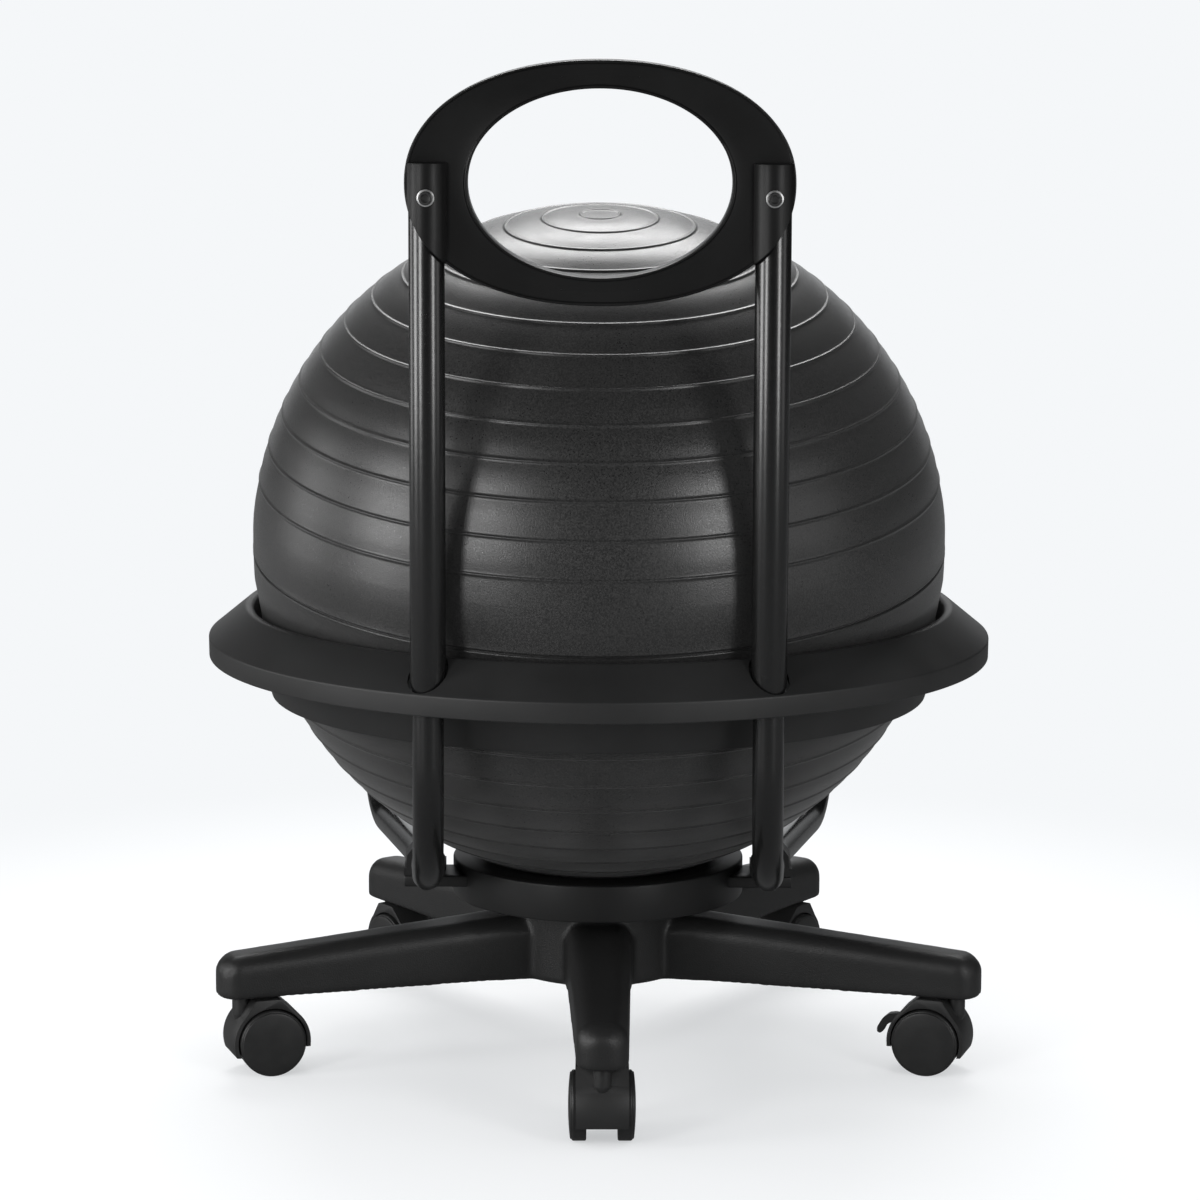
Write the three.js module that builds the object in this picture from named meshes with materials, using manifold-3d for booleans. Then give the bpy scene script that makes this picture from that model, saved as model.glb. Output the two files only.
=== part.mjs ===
// Balance ball chair: an inflated ball on a five-leg caster base, in a seat ring with a small backrest.
// Millimetres, +Z up. The origin is on the floor, under the middle of the ball. The backrest stands at -Y.
import * as THREE from "three";
import { mergeVertices } from "three/addons/utils/BufferGeometryUtils.js";
import Module from "manifold-3d";

const wasm = await Module();
wasm.setup();

// Clearances
const SEAT_GAP = 0.3; // between pieces that touch
const BALL_GAP = 0.5; // between the ball and the dish
const SPIN_GAP = 0.15; // round a pin that turns
const SWIVEL_GAP = 0.6; // between a caster's post and the leg above it
const HOOD_GAP = 1.4; // between a hood's roof and the leg above it
const WHEEL_GAP = 1.2; // between a wheel's tread and its hood
const LEVER_GAP = 0.5; // each side of a brake lever in its slot
const OVERRUN = 5; // how far a cutting solid runs past the face it opens

// Sides of round pieces
const ROUND_SIDES = 16;
const SMALL_SIDES = 10;

// Casters
const WHEEL_RADIUS = 25; // to the flats of the tread
const WHEEL_SIDES = 20;
const WHEEL_INNER_Y = 8.8;
const WHEEL_HUB_STEP = 2.3; // from the hub's end to the tread
const TREAD_WIDTH = 10.4;
const WHEEL_CROWN = 2.4; // how far the disc stands out past the tread
const WHEEL_HUB_RADIUS = 7.5;
const WHEEL_EDGE = 1.2;
const DISC_MARGIN = 1.4; // from the disc's edge to the tread
const DISC_EDGE = 0.8;
const DISC_CROWN = 0.5;
const DISC_CROWN_SHARE = 0.6; // of the disc's radius, where its flatter middle starts
const AXLE_RADIUS = 3;
const AXLE_INSET = 0.9; // from the tread's outer edge to the axle's end
const CASTER_TRAIL = 19.8; // from stem to axle
const HOOD_WALL = 2.8;
const HOOD_INSET = 2.8; // from the tread's outer edge to the hood's side
const HOOD_CROWN = 7.6; // from the wheels' top to the hood's flat roof
const HOOD_ROOF_REAR = -6.6;
const HOOD_ROOF_FRONT = 13;
const HOOD_REAR_TOP_ANGLE = THREE.MathUtils.degToRad(136.6);
const HOOD_REAR_END_ANGLE = THREE.MathUtils.degToRad(188);
const HOOD_FRONT_TOP_ANGLE = THREE.MathUtils.degToRad(44);
const HOOD_FRONT_END_ANGLE = THREE.MathUtils.degToRad(-19.5);
const HOOD_FLOOR_DROP = 11.5; // from the axle to the hood's floor between the wheels
const HOOD_FLOOR_HALF = 12;
const HOOD_STEP = THREE.MathUtils.degToRad(11);
const HOOD_ROOM_SIDES = 28;
const POST_RADIUS = 6.4;
const POST_FOOT_RISE = 9; // from the axle to the post's foot
const STEM_RADIUS = 3.7;
const STEM_FOOT_RISE = 15; // from the axle to the stem's foot
const STEM_HEAD_RADIUS = 5.5;
const STEM_HEAD = 24;
const SLEEVE_WALL = 1.55;
const SLEEVE_FLOOR = 2; // over the stem's head

// Brake levers
const BRAKED_LEGS = [0, 1];
const LEVER_HALF_WIDTH = 4.2;
const LEVER_PIVOT_SETBACK = 10; // from the hood's rear to the pivot
const LEVER_PIVOT_RISE = 12.5; // from the axle to the pivot
const LEVER_EYE_RADIUS = 4;
const LEVER_PIN_RADIUS = 1.5;
const LEVER_LENGTH = 20.8;
const LEVER_SLOT_BEHIND = 15; // from the pivot
const LEVER_SLOT_AHEAD = 5;
const LEVER_SLOT_BELOW = 8;
const LEVER_SLOT_ABOVE = 7;
const LEVER_OUTLINE_SHARES = [ // of the lever's length, from its pivot
  [-0.096, 0.168], [-0.337, 0.197], [-0.567, 0.159], [-0.822, -0.038],
  [-1, -0.361], [-0.99, -0.505], [-0.894, -0.558], [-0.788, -0.495],
  [-0.702, -0.332], [-0.577, -0.187], [-0.385, -0.111], [-0.048, -0.178],
];

// Star base
const STAR_TURN = THREE.MathUtils.degToRad(0.76); // from the backrest's middle to the first leg
const LEG_COUNT = 5;
const LEG_REACH = 298;
const LEG_TIP_HEIGHT = 32.5; // where the rounding of the tip starts
const LEG_ROOT_HEIGHT = 53; // at the middle of the base
const LEG_TIP_WIDTH = 37.3;
const LEG_ROOT_WIDTH = 51.3;
const LEG_TOP_ROUNDING = 11;
const LEG_EDGE = 1.8; // small lower edge of a leg
const LEG_NOSE = 14; // length of the rounded tip
const LEG_NOSE_POWER = 3.2; // squareness of the tip in plan
const LEG_NOSE_SHARES = [0.4, 0.7, 0.9, 1]; // where the nose has its sections
const LEG_NOSE_END_SHARE = 0.92; // how far round the tip's quarter circle goes at the top
const LEG_NOSE_FLAT_SHARE = 0.08; // what is left of the width, to the power, at the very tip
const LEG_ROUNDING_MOST_SHARE = 0.8; // of the half width
const STEM_INSET = 17.7; // from the leg's tip to the caster's stem
const CROTCH_RADIUS = 21;
const CROTCH_REACH = 88; // how far the filled root runs out along each leg
const CROTCH_DROP = 6; // from a leg's crown to the filled root
const HUB_RADIUS = 66;
const HUB_HEIGHT = 60.1;
const HUB_SIDES = 36;
const HUB_CORE_RADIUS = 25;
const BASE_WALL = 4;
const POCKETS_PER_LEG = 3;
const POCKET_INSET = 10; // how far the pockets start inside the filled root
const POCKET_MARGIN = 22.3; // from the last pocket to the caster's stem
const POCKET_DEPTH = 24;

// Dish under the ball
const DISH_MARGIN = 21; // from the dish to the corner where a bar turns outward beside it
const DISH_HEIGHT = 27.8;
const DISH_FLOOR = 14; // thickness under the ball
const DISH_RIM_ROUNDING = 2.5;
const DISH_SIDES = 36;
const DISH_BOWL_SHARES = [0, 0.22, 0.42, 0.6, 0.75]; // of the dish's radius, where it follows the ball
const DISH_BOLT_CIRCLE_RADIUS = 40;
const DISH_BOLT_COUNT = 4;
const DISH_BOLT_RADIUS = 2.9;
const DISH_BOLT_HEAD_RADIUS = 5;
const DISH_BOLT_HEAD = 4;
const DISH_BOLT_REACH = 9; // into the dish
const DISH_BOLT_SEAT = 19; // hub material over the bolt's head

// Saddles that hold the bars to the dish
const EAR_LENGTH = 40;
const EAR_MIDDLE_Y = -30;
const EAR_MARGIN = 14.5; // from the bar's middle to the ear's end
const EAR_RISE = 12.6; // from the dish's foot to the ear
const EAR_THICKNESS = 8.4;
const CLAMP_WALL = 4;
const CLAMP_FLANGE = 6;
const CLAMP_BOLT_RADIUS = 2.4;
const CLAMP_BOLT_HEAD_RADIUS = 4.4;
const CLAMP_BOLT_HEAD = 3;
const CLAMP_BOLT_SPACING = 20;

// Bent bars
const BAR_RADIUS = 11;
const BAR_WALL = 1.5;
const BAR_SIDES = 10;
const BAR_BORE_SIDES = 8;
const BAR_STEPS = 28;
const BAR_PLACES = 400; // points along a bar among which its bolts find their place
const BAR_REAR_BEND = 100;
const BAR_REAR_RISE = 37; // from the saddle to the lower rear corner
const BAR_BALL_MARGIN = 21.02; // from the ball to that corner, where the clamp has to clear the ball
const BAR_SADDLE_Y = -10;
const BAR_SADDLE_RISE = 4.6; // from the ear's top to the corner
const BAR_SADDLE_BEND = 250;
const BAR_FRONT_DROP = 8; // from the saddle to the lower front corner
const BAR_FRONT_BEND = 60;
const BAR_SLEEVE = 40; // how far a bar runs up inside the wider tube

// Ball
const BALL_RADIUS = 260;
const BALL_FLATNESS_SHARE = 0.975; // half the height over half the width, under the ball's own tension
const BALL_TILT = THREE.MathUtils.degToRad(8); // the ball's own axis leans to the backrest
const BALL_WALL = 2.5;
const RIB_COUNT = 29; // raised rings from pole to pole
const RIB_HEIGHT = 1;
const RIB_RISE = THREE.MathUtils.degToRad(0.35); // half the angle over which a rib steps up
const RIBS_PER_INNER_STEP = 3; // the inside of the shell is smooth and has fewer steps
const BALL_SIDES = 28;
const VALVE_RADIUS = 5;
const VALVE_LENGTH = 9;
const VALVE_FLANGE_RADIUS = 8;
const VALVE_FLANGE = 1.5;

// Seat ring
const RING_SLACK = 4; // from the ball's widest round to the crest's middle
const RING_SLOPE_WIDTH = 29;
const RING_SLOPE_HEIGHT = 24.5;
const RING_DROP = 82.9; // from the ball's middle to the ring's lip
const RING_BAND = 16; // height of the outer band
const RING_LIP_ROUNDING = 1.2;
const RING_CREST_ROUNDING = 4.5;
const RING_CREST_START = THREE.MathUtils.degToRad(48); // where the slope runs into the crest's rounding
const RING_WALL = 3;
const RING_SLOPE_WALL = 4.6; // thickness of the slope, upright
const SKIRT_HANG = 30; // from the lip to the skirt's foot
const SKIRT_DRAFT = 22; // how far the skirt's foot lies inside the crest
const SKIRT_WALL = 4.1;
const SKIRT_EDGE = 1.2;
const RING_SIDES = 48;

// Tubes on the ring
const TUBE_INSET = 15.5; // from the ring's edge to the four places where a bar meets it
const REAR_TUBE_ANGLE = THREE.MathUtils.degToRad(25.3); // from -Y
const FRONT_BAR_ANGLE = THREE.MathUtils.degToRad(40.4); // from +Y
const TUBE_WALL = 1.2;
const TUBE_SIDES = 20;
const TUBE_STEP_RISE = 6; // from the ring's lip to the step that the wide tube stands on
const TUBE_HOLE_GAP = 1.8; // the open ring round the tube in the slope
const BOSS_WALL = 7;
const FRONT_BAR_ENTRY = 5.5; // how far a bar's front end runs past the top of the band
const RING_SCREW_RISE = 1.5; // from the top of the band to the screws
const RING_SCREW_RADIUS = 2;
const RING_SCREW_HEAD_RADIUS = 4;
const RING_SCREW_HEAD = 2.6;
const RING_SCREW_SINK = 0.6; // the head sits this far below the skirt's face
const RING_SCREW_LENGTH = 14.4;

// Backrest
const BACK_RISE = 327.6; // from the ring's crest to the backrest's middle
const BACK_HALF_HEIGHT = 83.6;
const BACK_POWER = 2.15;
const BACK_MARGIN = 15; // from a tube's middle to the backrest's end
const BACK_SIDE_WIDTH = 43.1; // from the backrest's end to the hole
const BACK_BAND_WIDTH = 19.3; // from the backrest's top to the hole
const HOLE_POWER = 2.03;
const BACK_SETBACK = 7.1; // from a tube's middle to the backrest's rear
const BACK_THICKNESS = 24;
const BACK_LIP = 2.2;
const BACK_RECESS = 1.5;
const BACK_POINTS = 40;
const BACK_EDGE = 3; // rounding of the sitter's side
const SOCKET_WALL = 1.9;
const SOCKET_SETBACK = 1.6; // the socket's axis lies this far behind the tube's
const SOCKET_RISE = 14.1; // from the backrest's middle to the socket's top
const SOCKET_ROOF = 6.4; // material over the tube's end
const BACK_SCREW_DROP = 9.6; // from the backrest's middle to its screws
const BACK_SCREW_RADIUS = 2.4;
const BACK_SCREW_HEAD_RADIUS = 4.65;
const BACK_SCREW_HEAD = 2.6;
const BACK_SCREW_CROWN_SHARE = 0.6; // of the head, where its rounding starts
const BACK_SCREW_LENGTH = 14;
const HEX_RADIUS = 2.3;
const HEX_DEPTH = 1.6;
const WASHER_RADIUS = 6;
const WASHER_THICKNESS = 1;
const SPOT_FACE_DEPTH = 1.6;

// Places worked out from the sizes above: casters
const TREAD_INNER_Y = WHEEL_INNER_Y + WHEEL_HUB_STEP;
const TREAD_OUTER_Y = TREAD_INNER_Y + TREAD_WIDTH;
const WHEEL_OUTER_Y = TREAD_OUTER_Y + WHEEL_CROWN;
const DISC_RADIUS = WHEEL_RADIUS - DISC_MARGIN;
const AXLE_HALF_LENGTH = TREAD_OUTER_Y - AXLE_INSET;
const HOOD_WEB = WHEEL_INNER_Y - SEAT_GAP;
const HOOD_ROOM = WHEEL_RADIUS + WHEEL_GAP;
const HOOD_RADIUS = HOOD_ROOM + HOOD_WALL;
const HOOD_HALF_WIDTH = TREAD_OUTER_Y - HOOD_INSET;
const HOOD_ROOF_Z = 2 * WHEEL_RADIUS + HOOD_CROWN;
const HOOD_FLOOR_Z = WHEEL_RADIUS - HOOD_FLOOR_DROP;
const LEVER_PIVOT_X = LEVER_PIVOT_SETBACK - HOOD_RADIUS;
const LEVER_PIVOT_Z = WHEEL_RADIUS + LEVER_PIVOT_RISE;
const LEG_UNDERSIDE_Z = HOOD_ROOF_Z + HOOD_GAP;
const POST_FOOT_Z = WHEEL_RADIUS + POST_FOOT_RISE;
const POST_TOP_Z = LEG_UNDERSIDE_Z - SWIVEL_GAP;
const STEM_FOOT_Z = WHEEL_RADIUS + STEM_FOOT_RISE;
const SLEEVE_RADIUS = STEM_HEAD_RADIUS + SPIN_GAP + SLEEVE_WALL;
const SLEEVE_DEPTH = STEM_HEAD + SLEEVE_FLOOR;

// Star base, dish, and the ball on it
const CASTER_CIRCLE_RADIUS = LEG_REACH - STEM_INSET;
const POCKET_START = CROTCH_REACH - POCKET_INSET;
const POCKET_END = CASTER_CIRCLE_RADIUS - POCKET_MARGIN;
const STAR_TOP_Z = LEG_UNDERSIDE_Z + HUB_HEIGHT;
const DISH_BOTTOM_Z = STAR_TOP_Z + SEAT_GAP;
const DISH_RIM_Z = DISH_BOTTOM_Z + DISH_HEIGHT;
const DISH_BOLT_SEAT_Z = STAR_TOP_Z - DISH_BOLT_SEAT;
const BALL_HALF_HEIGHT = BALL_RADIUS * BALL_FLATNESS_SHARE;
const BALL_CENTRE_Z = DISH_BOTTOM_Z + DISH_FLOOR + BALL_GAP + BALL_HALF_HEIGHT;
const EAR_BOTTOM_Z = DISH_BOTTOM_Z + EAR_RISE;
const EAR_SPLIT_Z = EAR_BOTTOM_Z + EAR_THICKNESS;
const BAR_SADDLE_Z = EAR_SPLIT_Z + BAR_SADDLE_RISE;
const BAR_BELOW_BALL = (BALL_CENTRE_Z - BAR_SADDLE_Z) / BALL_FLATNESS_SHARE;
const BAR_SADDLE_X = Math.sqrt((BALL_RADIUS + BAR_BALL_MARGIN) ** 2 - BAR_BELOW_BALL ** 2);
const BAR_LOW_REAR_Z = BAR_SADDLE_Z + BAR_REAR_RISE;
const BAR_FRONT_Z = BAR_SADDLE_Z - BAR_FRONT_DROP;
const EAR_REACH = BAR_SADDLE_X + EAR_MARGIN;
const DISH_RADIUS = BAR_SADDLE_X - DISH_MARGIN;

// Seat ring
const RING_CREST_RADIUS = BALL_RADIUS + RING_SLACK;
const RING_RADIUS = RING_CREST_RADIUS + RING_SLOPE_WIDTH;
const RING_LIP_Z = BALL_CENTRE_Z - RING_DROP;
const RING_BAND_TOP_Z = RING_LIP_Z + RING_BAND;
const RING_CREST_Z = RING_BAND_TOP_Z + RING_SLOPE_HEIGHT;
const SKIRT_BOTTOM_Z = RING_LIP_Z - SKIRT_HANG;
const SKIRT_BOTTOM_RADIUS = RING_CREST_RADIUS - SKIRT_DRAFT;

// Tubes and backrest
const TUBE_RADIUS = BAR_RADIUS + SEAT_GAP + TUBE_WALL;
const TUBE_CIRCLE_RADIUS = RING_RADIUS - TUBE_INSET;
const REAR_TUBE_X = TUBE_CIRCLE_RADIUS * Math.sin(REAR_TUBE_ANGLE);
const REAR_TUBE_Y = -TUBE_CIRCLE_RADIUS * Math.cos(REAR_TUBE_ANGLE);
const FRONT_BAR_X = TUBE_CIRCLE_RADIUS * Math.sin(FRONT_BAR_ANGLE);
const FRONT_BAR_Y = TUBE_CIRCLE_RADIUS * Math.cos(FRONT_BAR_ANGLE);
const FRONT_BAR_TOP_Z = RING_BAND_TOP_Z + FRONT_BAR_ENTRY;
const BOSS_RADIUS = TUBE_RADIUS + BOSS_WALL;
const TUBE_STEP_Z = RING_LIP_Z + TUBE_STEP_RISE;
const RING_SCREW_Z = RING_BAND_TOP_Z + RING_SCREW_RISE;
const BACK_CENTRE_Z = RING_CREST_Z + BACK_RISE;
const BACK_REAR_Y = REAR_TUBE_Y - BACK_SETBACK;
const BACK_HALF_WIDTH = REAR_TUBE_X + BACK_MARGIN;
const HOLE_HALF_WIDTH = BACK_HALF_WIDTH - BACK_SIDE_WIDTH;
const HOLE_HALF_HEIGHT = BACK_HALF_HEIGHT - BACK_BAND_WIDTH;
const BACK_SCREW_Z = BACK_CENTRE_Z - BACK_SCREW_DROP;
const SOCKET_TOP_Z = BACK_CENTRE_Z + SOCKET_RISE;
const SOCKET_RADIUS = TUBE_RADIUS + SOCKET_WALL;
const SOCKET_Y = REAR_TUBE_Y - SOCKET_SETBACK;
const SOCKET_REAR_Y = SOCKET_Y - SOCKET_RADIUS;
const SPOT_FACE_Y = SOCKET_REAR_Y + SPOT_FACE_DEPTH;
const TUBE_TOP_Z = SOCKET_TOP_Z - SOCKET_ROOF - SEAT_GAP;

// Finishes
const FINISHES = {
  plastic: [0x1f2021, 0.62, 0],
  coated: [0x18191a, 0.25, 0.1],
  vinyl: [0x2d2f31, 0.5, 0],
  wheel: [0x202122, 0.55, 0],
  steel: [0x9a9c9e, 0.35, 1],
  zinc: [0xc4c6c6, 0.4, 1],
  blackSteel: [0x151515, 0.45, 0.6],
};

// A closed mesh with shared corners, no empty triangles, and its faces pointing out
function closed(geometry) {
  const bare = geometry.clone();
  bare.deleteAttribute("normal");
  bare.deleteAttribute("uv");
  const merged = mergeVertices(bare, 1e-3);
  const index = merged.getIndex().array;
  const kept = [];
  for (let i = 0; i < index.length; i += 3) {
    const [a, b, c] = [index[i], index[i + 1], index[i + 2]];
    if (a !== b && b !== c && c !== a) kept.push(a, b, c);
  }
  merged.setIndex(kept);
  if (signedVolume(merged) < 0) {
    const turned = [];
    for (let i = 0; i < kept.length; i += 3) turned.push(kept[i], kept[i + 2], kept[i + 1]);
    merged.setIndex(turned);
  }
  return merged;
}

// Six times the volume inside a mesh, negative where its faces point in
function signedVolume(geometry) {
  const place = geometry.getAttribute("position");
  const index = geometry.getIndex().array;
  const [a, b, c] = [new THREE.Vector3(), new THREE.Vector3(), new THREE.Vector3()];
  let sum = 0;
  for (let i = 0; i < index.length; i += 3) {
    a.fromBufferAttribute(place, index[i]);
    b.fromBufferAttribute(place, index[i + 1]);
    c.fromBufferAttribute(place, index[i + 2]);
    sum += a.dot(b.cross(c));
  }
  return sum;
}

function toManifold(geometry) {
  const mesh = closed(geometry);
  return new wasm.Manifold(new wasm.Mesh({
    numProp: 3,
    vertProperties: new Float32Array(mesh.getAttribute("position").array),
    triVerts: new Uint32Array(mesh.getIndex().array),
  }));
}

function fromManifold(body) {
  const mesh = body.getMesh();
  const geometry = new THREE.BufferGeometry();
  geometry.setAttribute("position", new THREE.BufferAttribute(new Float32Array(mesh.vertProperties), 3));
  geometry.setIndex(Array.from(mesh.triVerts));
  return geometry;
}

function join(...geometries) {
  return fromManifold(geometries.map(toManifold).reduce((whole, piece) => whole.add(piece)));
}

function cut(geometry, ...tools) {
  const whole = toManifold(geometry);
  return fromManifold(tools.map(toManifold).reduce((rest, tool) => rest.subtract(tool), whole));
}

function common(first, second) {
  return fromManifold(toManifold(first).intersect(toManifold(second)));
}

// An upright round bar between two heights
function rod(radius, low, high, sides = ROUND_SIDES) {
  const bar = new THREE.CylinderGeometry(radius, radius, high - low, sides);
  bar.rotateX(Math.PI / 2);
  bar.translate(0, 0, (low + high) / 2);
  return bar;
}

// A round cutter whose flats, not its corners, lie at the radius
function bore(radius, low, high, sides = ROUND_SIDES) {
  return rod(radius / Math.cos(Math.PI / sides), low, high, sides);
}

// A box between two corners
function block(low, high) {
  const size = high.map((value, i) => value - low[i]);
  const box = new THREE.BoxGeometry(...size);
  box.translate(...low.map((value, i) => value + size[i] / 2));
  return box;
}

// A profile of [radius, height] points turned round the upright axis
function turned(points, sides) {
  const lathe = new THREE.LatheGeometry(points.map(([r, z]) => new THREE.Vector2(r, z)), sides);
  lathe.rotateX(Math.PI / 2);
  return lathe;
}

function arc(x, y, radius, start, end, steps) {
  const points = [];
  for (let i = 0; i <= steps; i++) {
    const angle = start + ((end - start) * i) / steps;
    points.push([x + radius * Math.cos(angle), y + radius * Math.sin(angle)]);
  }
  return points;
}

function outline(points) {
  return new THREE.Shape(points.map(([x, y]) => new THREE.Vector2(x, y)));
}

// A flat outline in x and z, made thick along y between two places
function slab(shape, rear, front) {
  const plate = new THREE.ExtrudeGeometry(shape, { depth: front - rear, bevelEnabled: false });
  plate.rotateX(Math.PI / 2);
  plate.translate(0, front, 0);
  return plate;
}

// A closed body through rings of points, with flat ends
function loft(rings) {
  const count = rings[0].length;
  const index = [];
  for (let i = 0; i + 1 < rings.length; i++) {
    for (let j = 0; j < count; j++) {
      const a = i * count + j;
      const b = i * count + ((j + 1) % count);
      index.push(a, a + count, b, b, a + count, b + count);
    }
  }
  const last = (rings.length - 1) * count;
  for (let j = 1; j + 1 < count; j++) {
    index.push(0, j, j + 1);
    index.push(last, last + j + 1, last + j);
  }
  const geometry = new THREE.BufferGeometry();
  geometry.setAttribute("position", new THREE.BufferAttribute(new Float32Array(rings.flat(2)), 3));
  geometry.setIndex(index);
  return geometry;
}

// A stretch of a circle between two straight runs, in the plane of both
class Bend extends THREE.Curve {
  constructor(before, corner, after, radius) {
    super();
    this.into = corner.clone().sub(before).normalize();
    const out = after.clone().sub(corner).normalize();
    this.turn = this.into.angleTo(out);
    this.radius = radius;
    const run = radius * Math.tan(this.turn / 2);
    this.start = corner.clone().addScaledVector(this.into, -run);
    this.end = corner.clone().addScaledVector(out, run);
    this.side = out.addScaledVector(this.into, -out.dot(this.into)).normalize();
  }

  getPoint(share, target = new THREE.Vector3()) {
    const angle = this.turn * share;
    target.copy(this.start);
    target.addScaledVector(this.into, this.radius * Math.sin(angle));
    return target.addScaledVector(this.side, this.radius * (1 - Math.cos(angle)));
  }
}

// Straight runs through the corners, with a bend of its own radius at each inner corner
function bentPath(corners, radii) {
  const path = new THREE.CurvePath();
  let from = corners[0];
  for (let i = 1; i + 1 < corners.length; i++) {
    const bend = new Bend(corners[i - 1], corners[i], corners[i + 1], radii[i - 1]);
    path.add(new THREE.LineCurve3(from, bend.start));
    path.add(bend);
    from = bend.end;
  }
  path.add(new THREE.LineCurve3(from, corners[corners.length - 1]));
  return path;
}

function roundSection(radius, sides, innerRadius, innerSides) {
  const circle = (r, count) => outline(arc(0, 0, r, 0, 2 * Math.PI, count).slice(0, count));
  const section = circle(radius, sides);
  if (innerRadius) section.holes.push(circle(innerRadius, innerSides));
  return section;
}

// Ball

function ballHeightAt(radius) {
  return BALL_CENTRE_Z - BALL_HALF_HEIGHT * Math.sqrt(1 - (radius / BALL_RADIUS) ** 2);
}

// From the ball's own upright frame to its lean, its flatness and its place
function placeBall(geometry) {
  geometry.rotateX(BALL_TILT);
  geometry.scale(1, 1, BALL_FLATNESS_SHARE);
  geometry.translate(0, 0, BALL_CENTRE_Z);
  return geometry;
}

// The hollow shell, ribbed outside, open at the valve in its lower pole
function ball() {
  const step = Math.PI / (RIB_COUNT + 1);
  const at = (radius, angle) => [radius * Math.sin(angle), radius * Math.cos(angle)];
  const profile = [[0, BALL_RADIUS]];
  for (let k = 1; k <= RIB_COUNT; k++) {
    profile.push(at(BALL_RADIUS - RIB_HEIGHT, k * step - RIB_RISE));
    profile.push(at(BALL_RADIUS, k * step + RIB_RISE));
  }
  const inner = BALL_RADIUS - BALL_WALL;
  const hole = VALVE_RADIUS + SEAT_GAP;
  profile.push([hole, -Math.sqrt(BALL_RADIUS ** 2 - hole ** 2)]);
  profile.push([hole, -Math.sqrt(inner ** 2 - hole ** 2)]);
  for (let k = RIB_COUNT; k > 0; k -= RIBS_PER_INNER_STEP) profile.push(at(inner, k * step));
  profile.push([0, inner]);
  return placeBall(turned(profile, BALL_SIDES));
}

function valvePlug() {
  const outer = -BALL_RADIUS + SEAT_GAP;
  const inner = -BALL_RADIUS + BALL_WALL + SEAT_GAP;
  return placeBall(turned([
    [0, outer],
    [VALVE_RADIUS, outer],
    [VALVE_RADIUS, inner],
    [VALVE_FLANGE_RADIUS, inner],
    [VALVE_FLANGE_RADIUS, inner + VALVE_FLANGE],
    [VALVE_RADIUS, inner + VALVE_FLANGE],
    [0, outer + VALVE_LENGTH],
  ], SMALL_SIDES));
}

// Star base

// One leg along +X: full section from the middle out, then a nose that rounds off in plan and at the top
function starLeg() {
  const noseStart = LEG_REACH - LEG_NOSE;
  const stations = [0, noseStart];
  for (const share of LEG_NOSE_SHARES) stations.push(noseStart + LEG_NOSE * share);
  const rings = stations.map((x) => {
    const along = x / noseStart;
    const nose = Math.max(0, (x - noseStart) / LEG_NOSE);
    const fullWidth = LEG_ROOT_WIDTH + (LEG_TIP_WIDTH - LEG_ROOT_WIDTH) * Math.min(along, 1);
    const narrowing = Math.max(1 - nose ** LEG_NOSE_POWER, LEG_NOSE_FLAT_SHARE) ** (1 / LEG_NOSE_POWER);
    const half = (fullWidth / 2) * narrowing;
    const fullHeight = LEG_ROOT_HEIGHT + (LEG_TIP_HEIGHT - LEG_ROOT_HEIGHT) * Math.min(along, 1);
    const drop = LEG_NOSE * (1 - Math.sqrt(1 - (LEG_NOSE_END_SHARE * nose) ** 2));
    const top = LEG_UNDERSIDE_Z + fullHeight - drop;
    const rounding = Math.min(LEG_TOP_ROUNDING, half * LEG_ROUNDING_MOST_SHARE);
    const right = arc(half - rounding, top - rounding, rounding, 0, Math.PI / 2, 3);
    const left = arc(rounding - half, top - rounding, rounding, Math.PI / 2, Math.PI, 3);
    const section = [
      [LEG_EDGE - half, LEG_UNDERSIDE_Z],
      [half - LEG_EDGE, LEG_UNDERSIDE_Z],
      [half, LEG_UNDERSIDE_Z + LEG_EDGE],
      ...right,
      ...left,
      [-half, LEG_UNDERSIDE_Z + LEG_EDGE],
    ];
    return section.map(([y, z]) => [x, y, z]);
  });
  return loft(rings);
}

// The filled root of the star, with a round crotch between each two legs
function starRoot() {
  const half = Math.PI / LEG_COUNT;
  const width = LEG_ROOT_WIDTH / 2;
  const centre = (width + CROTCH_RADIUS) / Math.sin(half);
  const shape = new THREE.Shape();
  for (let i = 0; i < LEG_COUNT; i++) {
    const leg = i * 2 * half;
    const [c, s] = [Math.cos(leg), Math.sin(leg)];
    const corner = (side) => [CROTCH_REACH * c - side * width * s, CROTCH_REACH * s + side * width * c];
    const begin = corner(-1);
    if (i === 0) shape.moveTo(...begin);
    else shape.lineTo(...begin);
    shape.lineTo(...corner(1));
    const crotch = leg + half;
    const [x, y] = [centre * Math.cos(crotch), centre * Math.sin(crotch)];
    shape.absarc(x, y, CROTCH_RADIUS, leg - Math.PI / 2, leg + 2 * half + Math.PI / 2 - 2 * Math.PI, true);
  }
  const crown = LEG_ROOT_HEIGHT + ((LEG_TIP_HEIGHT - LEG_ROOT_HEIGHT) * CROTCH_REACH) / LEG_REACH;
  const root = new THREE.ExtrudeGeometry(shape, {
    depth: crown - CROTCH_DROP,
    bevelEnabled: false,
    curveSegments: 6,
  });
  root.translate(0, 0, LEG_UNDERSIDE_Z);
  return root;
}

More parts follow.
